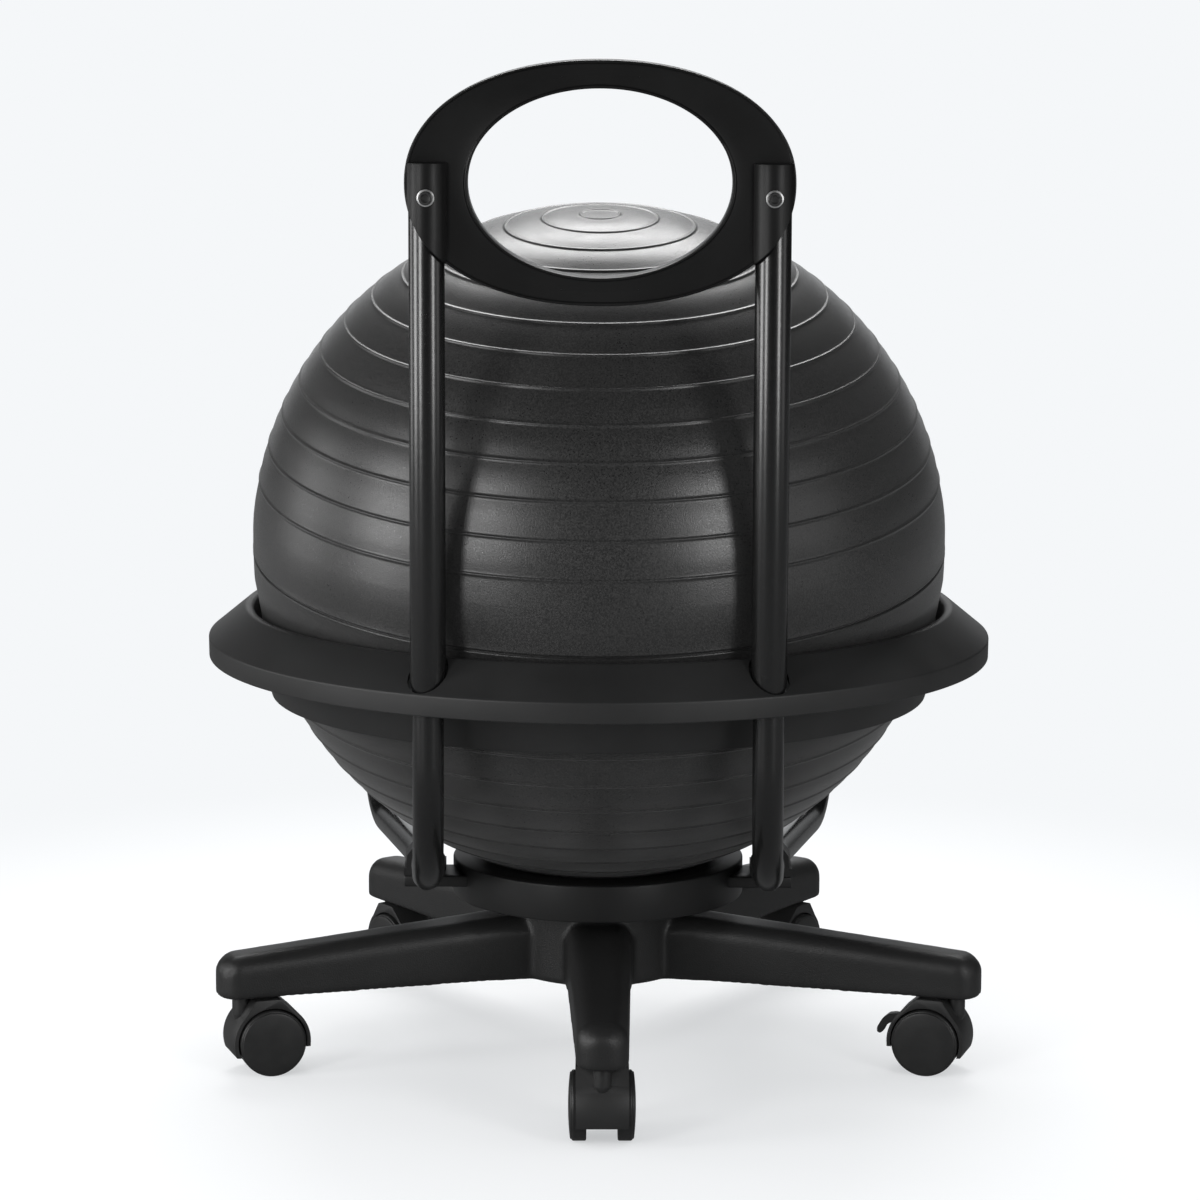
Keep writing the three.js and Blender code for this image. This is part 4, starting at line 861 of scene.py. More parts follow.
@dataclass
class Ball:
    """The inflated ball: a flattened sphere with narrow raised rings round a leaning axis."""

    radius: float = 0.26
    flatness: float = 0.975
    centre_z: float = 0.3874
    tilt: float = 9.9
    rib_pitch: float = 6.2
    first_rib: float = 12.4
    last_rib: float = 88.0
    rib_height: float = 0.0009
    rib_spread: float = 0.22
    swell: float = 0.0006
    seam_depth: float = 0.0009
    seam_zone: float = 3.0
    seam_lip: tuple[float, float] = (0.7, 0.5)
    seam_groove: tuple[float, float] = (1.6, 0.2)
    ring_rows: tuple[float, ...] = (
        -0.66, -0.5, -0.36, -0.24, -0.12, 0.0, 0.12, 0.24, 0.36, 0.5, 0.66, 1.4, 3.0, 4.6,
    )
    seam_rows: tuple[float, ...] = (82.0, 84.2, 86.0, 88.2, 91.8, 94.0)
    pole_row: float = 1.2
    pole_room: float = 1.8
    columns: int = 224

    @property
    def axis(self) -> Point:
        """The ball's own axis: upright, tilted towards the backrest."""
        lean = math.radians(self.tilt)
        return (0.0, -math.sin(lean), math.cos(lean))

    def skin(self) -> BallVinyl:
        """The finish that follows this ball's axis and flatness."""
        return BallVinyl((0.0, 0.0, self.centre_z), self.axis, self.flatness)

    @cached_property
    def rings(self) -> np.ndarray:
        """Polar angles of the raised rings, 90 -+ (first + n pitch) degrees, and of the seam between them."""
        away = np.arange(self.first_rib, self.last_rib, self.rib_pitch)
        return np.concatenate([90.0 - away[::-1], [90.0], 90.0 + away])

    def polar(self) -> np.ndarray:
        """Polar angles in degrees: close together over each ring, wider between two rings."""
        angles = (self.rings[:, None] + np.array(self.ring_rows)).ravel()
        angles = np.unique(np.round(np.concatenate([angles, self.seam_rows]), 4))
        inner = angles[(angles > self.pole_room) & (angles < 180.0 - self.pole_room)]
        return np.concatenate([[0.0, self.pole_row], inner, [180.0 - self.pole_row, 180.0]])

    def relief(self, polar: np.ndarray) -> np.ndarray:
        """Height over the sphere: a bell over each ring and a swell between two, less the ring's height.

        Bell = height exp(-(angle from the ring / spread)^2); swell = height sin^2 of the way between two
        rings. The seam at the ball's middle is a groove with a soft lip each side: one bell less another,
        each with its share of the seam's depth and its spread.
        """
        off = polar - self.rings[np.argmin(np.abs(polar[:, None] - self.rings), axis=1)]
        bell = self.rib_height * np.exp(-((off / self.rib_spread) ** 2))
        way = np.interp(polar, self.rings, np.arange(len(self.rings)))
        between = self.swell * np.sin(math.pi * way) ** 2
        (lip, lip_spread), (cut, cut_spread) = self.seam_lip, self.seam_groove
        seam = lip * np.exp(-((off / lip_spread) ** 2)) - cut * np.exp(-((off / cut_spread) ** 2))
        is_seam = np.abs(polar - 90.0) < self.seam_zone
        return np.where(is_seam, self.seam_depth * seam, bell) + between - self.rib_height

    def mesh(self) -> Mesh:
        """Point = tilt, then flatten (r sin p cos a, r sin p sin a, r cos p), r being radius plus relief."""
        polar = self.polar()
        radius = self.radius + self.relief(polar)
        along = np.radians(polar)
        profile = np.stack([radius * np.sin(along), radius * np.cos(along)], axis=-1)
        x, y, z = np.moveaxis(turned(profile, self.columns), -1, 0)
        lean = math.radians(self.tilt)
        back = y * math.cos(lean) - z * math.sin(lean)
        height = (y * math.sin(lean) + z * math.cos(lean)) * self.flatness + self.centre_z
        return grid_mesh("ball_skin", np.stack([x, back, height], axis=-1), wrap_columns=True, sharp=70.0)

    def build(self, shop: Workshop) -> None:
        """Makes the ball and dresses its plug."""
        shop.piece(self.mesh(), "ball", "vinyl", [shop.vinyl], "ball")
        shop.dress("valve_plug", shop.smooth_plastic)


@dataclass
class SeatFrame:
    """The ring, its tubes and bars, and the dish."""

    tube_circle: float = 0.2775
    rear_angle: float = 25.3
    front_angle: float = 40.4
    tube_radius: float = 0.0125
    tube_wall: float = 0.0012
    tube_foot: float = 0.3108
    tube_top: float = 0.680
    bar_radius: float = 0.011
    bar_top: float = 0.3505
    bar_front_top: float = 0.326
    bar_rear_foot: float = 0.182
    bar_middle: Point = (0.131, -0.010, 0.145)
    bar_front_foot: float = 0.137
    bar_bends: Point = (0.1, 0.25, 0.06)
    bar_spacing: float = 0.003
    bar_hole_gap: float = 0.0003
    ring_radius: float = 0.293
    ring_lip: float = 0.3045
    ring_band: float = 0.0148
    crest_radius: float = 0.264
    crest_height: float = 0.342
    skirt_foot: float = 0.2745
    skirt_radius: float = 0.242
    wall: float = 0.003
    notch_count: int = 24
    notch_half_width: float = 0.0016
    notch_height: float = 0.0011
    hole_gap: float = 0.0018
    hole_top: float = 0.36
    boss_radius: float = 0.0145
    boss_foot: float = 0.001
    boss_top: float = 0.012
    bore_foot: float = 0.29
    bowl_radius: float = 0.0845
    bowl_gap: float = 0.0007
    bowl_lip: float = 0.096
    dish_radius: float = 0.11
    dish_foot: float = 0.1194
    dish_rim: float = 0.1472
    ear_inner: float = 0.092
    ear_outer: float = 0.1455
    ear_span: tuple[float, float] = (-0.05, -0.01)
    ear_foot: float = 0.132
    ear_top: float = 0.1404

    @cached_property
    def rear_spot(self) -> tuple[float, float]:
        """Where the right rear tube stands."""
        angle = math.radians(self.rear_angle)
        return (self.tube_circle * math.sin(angle), -self.tube_circle * math.cos(angle))

    @cached_property
    def front_spot(self) -> tuple[float, float]:
        """Where the right bar meets the ring in front."""
        angle = math.radians(self.front_angle)
        return (self.tube_circle * math.sin(angle), self.tube_circle * math.cos(angle))

    def ring_profile(self) -> np.ndarray:
        """The ring's wall: from the lip up the band, over slope and crest, down the skirt and back inside."""
        band_top = self.ring_lip + self.ring_band
        inner = self.ring_radius - self.wall
        foot = self.skirt_radius
        return rounded([
            (self.ring_radius - 0.0002, self.ring_lip, 0.0009),
            (self.ring_radius, band_top, 0.0022),
            (self.crest_radius + 0.0012, self.crest_height, 0.0045),
            (self.crest_radius - 0.0046, self.crest_height - 0.0006, 0.0035),
            (foot, self.skirt_foot, 0.0011),
            (foot + 0.0041, self.skirt_foot, 0.0011),
            (self.crest_radius - 0.0014, self.crest_height - 0.0092, 0.0015),
            (self.crest_radius + 0.0016, self.crest_height - 0.0046, 0.0015),
            (inner, band_top - 0.0016, 0.0015),
            (inner, self.ring_lip, 0.0006),
        ], steps=6)

    def notches(self) -> Mesh:
        """The cutter of the notches in the lip: a box at equal angles, the first towards the backrest."""
        low = (self.ring_radius - 0.005, -self.notch_half_width, self.ring_lip - 0.001)
        high = (self.ring_radius - 0.0004, self.notch_half_width, self.ring_lip + self.notch_height)
        box = rounded_box("notch", low, high, 0.0003, 2)
        turns = np.arange(self.notch_count) / self.notch_count * 2.0 * math.pi - math.pi / 2.0
        parts = [placed(box, "notch", Matrix.Rotation(float(angle), 4, "Z")) for angle in turns]
        bpy.data.meshes.remove(box)
        return together("notches", parts)

    def ring(self) -> Mesh:
        """The ring, turned, with bosses at its four posts, the posts' holes and the notches in its lip."""
        shell = revolved("seat_ring_shell", self.ring_profile(), 288, loop=True, sharp=34.0)
        lip, bar_hole = self.ring_lip, self.bar_radius + self.bar_hole_gap
        boss_foot, boss_top = lip + self.boss_foot, lip + self.boss_top
        tools = [(Cut.AWAY, self.notches())]
        for side in Side:
            (x, y), (fx, fy) = self.rear_spot, self.front_spot
            for px, py in ((side.value * x, y), (side.value * fx, fy)):
                tools.append((Cut.JOIN, rod((px, py, boss_foot), (px, py, boss_top), self.boss_radius)))
                tools.append((Cut.AWAY, rod((px, py, self.bore_foot), (px, py, boss_top + 0.001), bar_hole)))
            foot, top = (side.value * x, y, lip + self.boss_top / 2.0), (side.value * x, y, self.hole_top)
            tools.append((Cut.AWAY, rod(foot, top, self.tube_radius + self.hole_gap)))
        return combine(shell, *tools)

    def bar_corners(self, side: Side) -> np.ndarray:
        """The corners of a bent bar's middle line."""
        s = side.value
        (rx, ry), (fx, fy), (mx, my, mz) = self.rear_spot, self.front_spot, self.bar_middle
        return np.array([
            (s * rx, ry, self.bar_top), (s * rx, ry, self.bar_rear_foot), (s * mx, my, mz),
            (s * fx, fy, self.bar_front_foot), (s * fx, fy, self.bar_front_top),
        ])

    def tubes(self, shop: Workshop, side: Side) -> None:
        """Makes one side's bent bar and upright tube.

        Args:
            shop: Where pieces are made.
            side: Which side.
        """
        path = bent(self.bar_corners(side), self.bar_bends, self.bar_spacing)
        bar = swept(f"bent_bar_{side.word}", path, self.bar_radius, 44)
        shop.piece(bar, "frame", "coated", [shop.coat], f"lower_bar_{side.word}")
        x, y = self.rear_spot
        inner = self.tube_radius - self.tube_wall
        profile = rounded([
            (inner, self.tube_foot, 0.0), (self.tube_radius, self.tube_foot, 0.0004),
            (self.tube_radius, self.tube_top, 0.0004), (inner, self.tube_top, 0.0),
        ], steps=4)
        tube = revolved(f"upright_tube_{side.word}", profile, 64, loop=True)
        tube.transform(Matrix.Translation((side.value * x, y, 0.0)))
        shop.piece(tube, "frame", "coated", [shop.coat], f"upper_tube_{side.word}")

    def dish(self) -> Mesh:
        """The dish: turned, its bowl following the ball just below it, with an ear each side."""
        ball = Ball()
        reach = np.linspace(0.0, self.bowl_radius, 16)
        depth = ball.radius * ball.flatness * np.sqrt(1.0 - (reach / ball.radius) ** 2)
        bowl = ball.centre_z - depth - self.bowl_gap
        rim = rounded([
            (self.bowl_radius, float(bowl[-1]), 0.0), (self.bowl_lip, self.dish_rim - 0.0012, 0.006),
            (self.dish_radius, self.dish_rim, 0.0016), (self.dish_radius, self.dish_foot, 0.001),
            (0.0, self.dish_foot, 0.0),
        ], loop=False)
        profile = np.concatenate([np.stack([reach, bowl], axis=-1), rim[1:]])
        tools = []
        for side in Side:
            inner, outer = sorted((side.value * self.ear_inner, side.value * self.ear_outer))
            low, high = (inner, self.ear_span[0], self.ear_foot), (outer, self.ear_span[1], self.ear_top)
            path = bent(self.bar_corners(side), self.bar_bends, 2.0 * self.bar_spacing)
            groove = swept("groove", path, self.bar_radius + self.bar_hole_gap, 32)
            tools += [(Cut.JOIN, rounded_box("ear", low, high, 0.0012)), (Cut.AWAY, groove)]
        return combine(revolved("ball_dish", profile, 160, sharp=34.0), *tools)

    def build(self, shop: Workshop) -> None:
        """Makes the ring, bars, tubes and dish, and dresses what holds them."""
        shop.piece(self.ring(), "frame", "plastic", [shop.ring_plastic], "seat_ring")
        shop.piece(self.dish(), "frame", "plastic", [shop.smooth_plastic], "base_dish")
        for side in Side:
            self.tubes(shop, side)
            shop.dress(f"bar_clamp_{side.word}", shop.plastic)
            for bolt in (1, 2):
                shop.dress(f"clamp_bolt_{side.word}_{bolt}", shop.steel)
            for end in ("rear", "front"):
                shop.dress(f"ring_screw_{end}_{side.word}", shop.black_steel)
        for bolt in (1, 2, 3, 4):
            shop.dress(f"dish_bolt_{bolt}", shop.steel)


@dataclass
class Backrest:
    """The oval loop, its two round sockets, and the screw and washer in each."""

    half_width: float = 0.1336
    half_height: float = 0.0836
    power: float = 2.15
    centre_z: float = 0.6726
    hole_half_width: float = 0.0905
    hole_half_height: float = 0.0643
    hole_power: float = 2.03
    rear: float = -0.258
    front: float = -0.234
    lip: float = 0.0022
    recess: float = 0.0015
    socket_radius: float = 0.0144
    socket_x: float = 0.1186
    socket_y: float = -0.2525
    socket_top: float = 0.6867
    socket_depth: float = 0.006
    screw_z: float = 0.663
    washer_radius: float = 0.006
    washer_span: tuple[float, float] = (0.0003, 0.0013)
    face_depth: float = 0.0016
    face_gap: float = 0.0003
    bore_radius: float = 0.0027
    bore_depth: float = 0.003
    screw_profile: Corners = (
        (0.0, -0.0124, 0.0), (0.0024, -0.0124, 0.0003), (0.0024, 0.0016, 0.0), (0.0048, 0.0016, 0.0002),
        (0.0048, 0.0042, 0.0009), (0.003, 0.0042, 0.0003), (0.0026, 0.0024, 0.0), (0.0, 0.0018, 0.0),
    )
    around: int = 224

    def oval(self, half_width: float, half_height: float, power: float) -> np.ndarray:
        """An oval: x = w sign(cos) |cos|^(2/p), z = h sign(sin) |sin|^(2/p), for equal angles."""
        angle = turn(self.around)
        c, s = np.cos(angle), np.sin(angle)
        return np.stack([
            half_width * np.sign(c) * np.abs(c) ** (2.0 / power),
            half_height * np.sign(s) * np.abs(s) ** (2.0 / power),
        ], axis=-1)

    def section(self) -> np.ndarray:
        """The loop's section: 0 from the outer edge or 1 from the hole's, how far in, and the place along y.

        It runs from the outer edge over the rear lips and the recessed face to the hole, and back in front.
        """
        rear, front, lip, floor = self.rear, self.front, self.lip, self.rear + self.recess
        behind = [
            (0.0, rear + 0.0008), (0.00025, rear + 0.00025), (0.0008, rear), (lip - 0.0006, rear),
            (lip - 0.0001, rear + 0.0004), (lip + 0.0006, floor - 0.0002), (lip + 0.0016, floor),
            (lip + 0.009, floor + 0.0007),
        ]
        ahead = [(0.0, front - 0.003), (0.0004, front - 0.0015), (0.0015, front - 0.0004), (0.003, front)]
        runs = ((0, behind), (1, behind[::-1]), (1, ahead), (0, ahead[::-1]))
        return np.array([(which, depth, y) for which, run in runs for depth, y in run])

    def loop(self) -> Mesh:
        """Point = edge + direction to the other edge times the distance in, at the section's y."""
        outer = self.oval(self.half_width, self.half_height, self.power)
        inner = self.oval(self.hole_half_width, self.hole_half_height, self.hole_power)
        way = (inner - outer) / np.linalg.norm(inner - outer, axis=1, keepdims=True)
        which, depth, y = self.section().T
        step = way[None] * depth[:, None, None]
        flat = np.where(which[:, None, None] < 0.5, outer[None] + step, inner[None] - step)
        across, height = flat[..., 0], flat[..., 1] + self.centre_z
        points = np.stack([across, y[:, None] + 0.0 * across, height], axis=-1)
        return grid_mesh("backrest_loop", points, wrap_rows=True, wrap_columns=True, sharp=38.0)

    def edge_height(self, x: np.ndarray) -> np.ndarray:
        """Half the loop's height at a place x: h (1 - |x/w|^p)^(1/p)."""
        share = np.clip(np.abs(x) / self.half_width, 0.0, 0.9995)
        return self.half_height * (1.0 - share ** self.power) ** (1.0 / self.power)

    def socket(self, side: Side) -> Mesh:
        """A round socket: a half cylinder whose foot, and corner at the top, follow the loop's outline.

        Columns run across the socket, at x = centre + R sin angle and y = centre - R cos angle. Rows run from
        the plate along the foot, up the wall and back along the top; those next to the edges are drawn in.

        Args:
            side: Which side.

        Returns:
            The socket with its spot face cut.
        """
        angle = np.radians(np.linspace(-90.0, 90.0, 49))
        x, y, z = side.value * self.socket_x, self.socket_y, self.screw_z
        across = x + self.socket_radius * np.sin(angle)
        half = self.edge_height(across)
        foot, top = self.centre_z - half, np.minimum(self.socket_top, self.centre_z + half)
        plate = self.rear + self.socket_depth + 0.0 * across
        rows = [np.stack([across, plate, foot], axis=-1)]
        wall = [(foot, 0.0007), (foot + 0.0007, 0.0)]
        wall += [(top - 0.0009, 0.0), (top - 0.00025, 0.0003), (top, 0.001)]
        for height, inset in wall:
            radius = self.socket_radius - inset
            rows.append(np.stack([x + radius * np.sin(angle), y - radius * np.cos(angle), height], axis=-1))
        rows.append(np.stack([across, plate, top], axis=-1))
        body = grid_mesh(f"backrest_socket_{side.word}", np.stack(rows), wrap_rows=True, sharp=38.0)
        face = y - self.socket_radius + self.face_depth
        outside = (x, face - 0.02, z)
        seat = rod(outside, (x, face, z), self.washer_radius + self.face_gap, 64)
        bore = rod(outside, (x, face + self.bore_depth, z), self.bore_radius, 32)
        return combine(body, (Cut.AWAY, seat), (Cut.AWAY, bore))

    def fasteners(self, shop: Workshop, side: Side) -> None:
        """Makes one side's washer and socket-head screw, turned about a line along y.

        Args:
            shop: Where pieces are made.
            side: Which side.
        """
        face = self.socket_y - self.socket_radius + self.face_depth
        place = Matrix.Translation((side.value * self.socket_x, face, self.screw_z))
        lay = place @ Matrix.Rotation(math.pi / 2.0, 4, "X")
        hole, rim = self.bore_radius, self.washer_radius
        low, high = self.washer_span
        profile = rounded([(hole, low, 0.0), (rim, low, 0.0002), (rim, high, 0.0003), (hole, high, 0.0)], 3)
        washer = revolved(f"screw_washer_{side.word}", profile, 56, loop=True)
        washer.transform(lay)
        shop.piece(washer, "frame", "zinc", [shop.zinc], f"backrest_washer_{side.word}")
        screw = revolved(f"socket_screw_{side.word}", rounded(self.screw_profile, steps=4, loop=False), 48)
        screw.transform(lay)
        shop.piece(screw, "frame", "black_steel", [shop.black_steel], f"backrest_screw_{side.word}")

    def build(self, shop: Workshop) -> None:
        """Makes the backrest and its fasteners."""
        parts = [self.loop(), *[self.socket(side) for side in Side]]
        shop.piece(together("backrest_body", parts), "frame", "plastic", [shop.backrest_plastic], "backrest")
        for side in Side:
            self.fasteners(shop, side)


@dataclass
class StarBase:
    """The moulded five-leg base: tapering legs with rounded tips, melted into a hub."""

    turn_angle: float = 0.76
    legs: int = 5
    reach: float = 0.298
    underside: float = 0.059
    tip_height: float = 0.0325
    root_height: float = 0.053
    tip_width: float = 0.0373
    root_width: float = 0.0513
    top_rounding: float = 0.0128
    nose: float = 0.017
    nose_power: float = 2.5
    nose_fall: float = 0.92
    foot_rounding: float = 0.0022
    hub_radius: float = 0.066
    hub_top: float = 0.1191
    core_radius: float = 0.025
    core_roof: float = 0.019
    crotch_radius: float = 0.021
    crotch_reach: float = 0.088
    crotch_height: float = 0.041
    crotch_ease: float = 0.004
    wall: float = 0.004
    pockets: int = 3
    pocket_start: float = 0.078
    pocket_end: float = 0.258
    pocket_depth: float = 0.024
    caster_circle: float = 0.2803
    sleeve_radius: float = 0.0075
    sleeve_depth: float = 0.0263
    voxel: float = 0.0021
    smoothing: int = 5

    def leg_angle(self, leg: int) -> float:
        """A leg's direction: the first points to the backrest, the others follow counter-clockwise."""
        return math.radians(-90.0 + self.turn_angle + 360.0 / self.legs * leg)

    def leg(self) -> Mesh:
        """One leg along +X.

        Stations run from the middle to the tip. Half width and height shrink in line; over the nose the half
        width is multiplied by (1 - t^p)^(1/p) and the height falls by nose (1 - sqrt(1 - (fall t)^2)), with t
        the way along the nose. The section is a rounded arch.
        """
        start, under = self.reach - self.nose, self.underside
        nose = start + self.nose * np.sin(np.radians(np.linspace(6.0, 90.0, 14)))
        x = np.concatenate([np.linspace(0.0, start, 12), nose])
        t = np.clip((x - start) / self.nose, 0.0, 1.0)
        share = np.clip(x / start, 0.0, 1.0)
        width = self.root_width + (self.tip_width - self.root_width) * share
        half = width / 2.0 * np.maximum(1.0 - t ** self.nose_power, 0.04) ** (1.0 / self.nose_power)
        height = self.root_height + (self.tip_height - self.root_height) * share
        top = under + height - self.nose * (1.0 - np.sqrt(1.0 - (self.nose_fall * t) ** 2))
        upper = np.minimum(self.top_rounding, half * 0.85)
        lower = np.minimum(self.foot_rounding, half * 0.3)
        right = []
        arcs = ((lower, under + lower, (-90.0, 0.0, 5)), (upper, top - upper, (0.0, 90.0, 9)))
        for radius, middle, turns in arcs:
            angle = np.radians(np.linspace(*turns))
            out = (half - radius)[:, None] + radius[:, None] * np.cos(angle)
            right.append(np.stack([out, middle[:, None] + radius[:, None] * np.sin(angle)]))
        y, z = np.concatenate(right, axis=2)
        y, z = np.concatenate([y, -y[:, ::-1]], axis=1), np.concatenate([z, z[:, ::-1]], axis=1)
        solid = grid_mesh("leg", np.stack([x[:, None] + 0.0 * y, y, z], axis=-1), wrap_columns=True)
        pitch = (self.pocket_end - self.pocket_start) / self.pockets
        below, roof = under - 0.01, under + self.pocket_depth
        tools = []
        for i in range(self.pockets):
            inner = self.pocket_start + i * pitch + self.wall / 2.0
            outer = self.pocket_start + (i + 1) * pitch - self.wall / 2.0
            width = self.root_width + (self.tip_width - self.root_width) * outer / self.reach
            side = width / 2.0 - self.wall
            pocket = rounded_box("pocket", (inner, -side, below), (outer, side, roof), 0.002, 3)
            tools.append((Cut.AWAY, pocket))
        low, high = ((self.caster_circle, 0.0, level) for level in (below, under + self.sleeve_depth))
        return combine(solid, *tools, (Cut.AWAY, rod(low, high, self.sleeve_radius, 32)))

    def crotch_fill(self) -> Mesh:
        """The filled root in plan: for each leg its two sides, then a hollow round corner to the next leg."""
        half, quarter = math.pi / self.legs, math.pi / 2.0
        width = self.root_width / 2.0
        taper = self.crotch_reach / (self.reach - self.nose)
        end = (self.root_width + (self.tip_width - self.root_width) * taper) / 2.0 - 0.0002
        centre = (width + self.crotch_radius) / math.sin(half)
        parts = []
        for leg in range(self.legs):
            a = self.leg_angle(leg)
            out = np.array([math.cos(a), math.sin(a)])
            left = np.array([-math.sin(a), math.cos(a)])
            middle = centre * np.array([math.cos(a + half), math.sin(a + half)])
            angle = np.linspace(a - quarter, a + 2.0 * half + quarter - 2.0 * math.pi, 14)[:, None]
            curve = middle + self.crotch_radius * np.concatenate([np.cos(angle), np.sin(angle)], axis=1)
            parts += [[out * self.crotch_reach - left * end], [out * self.crotch_reach + left * end], curve]
        low, ease, rise = self.underside, self.crotch_ease, self.crotch_height
        levels = ((low, 0.001), (low + 0.001, 0.0), (low + rise - ease, 0.0), (low + rise, ease))
        return grid_mesh("root", layers(np.concatenate(parts), levels, 2), wrap_columns=True)

    def mesh(self) -> Mesh:
        """Legs, root and a hub that is hollow from below, melted together."""
        leg = self.leg()
        parts = [placed(leg, "leg", Matrix.Rotation(self.leg_angle(i), 4, "Z")) for i in range(self.legs)]
        bpy.data.meshes.remove(leg)
        core, low, top, roof = self.core_radius, self.underside, self.hub_top, self.hub_top - self.core_roof
        hub = rounded([
            (core, low, 0.001), (self.hub_radius, low, 0.0015), (self.hub_radius, top, 0.001),
            (0.0, top, 0.0), (0.0, roof, 0.0), (core, roof, 0.001),
        ], steps=4)
        parts += [self.crotch_fill(), revolved("hub", hub, 120, loop=True)]
        return fused("star_base_body", parts, self.voxel, self.smoothing)

    def build(self, shop: Workshop) -> None:
        """Makes the base and dresses the sleeves in its tips."""
        shop.piece(self.mesh(), "frame", "plastic", [shop.plastic], "star_base")
        for leg in range(1, self.legs + 1):
            shop.dress(f"caster_{leg}_socket", shop.smooth_plastic)


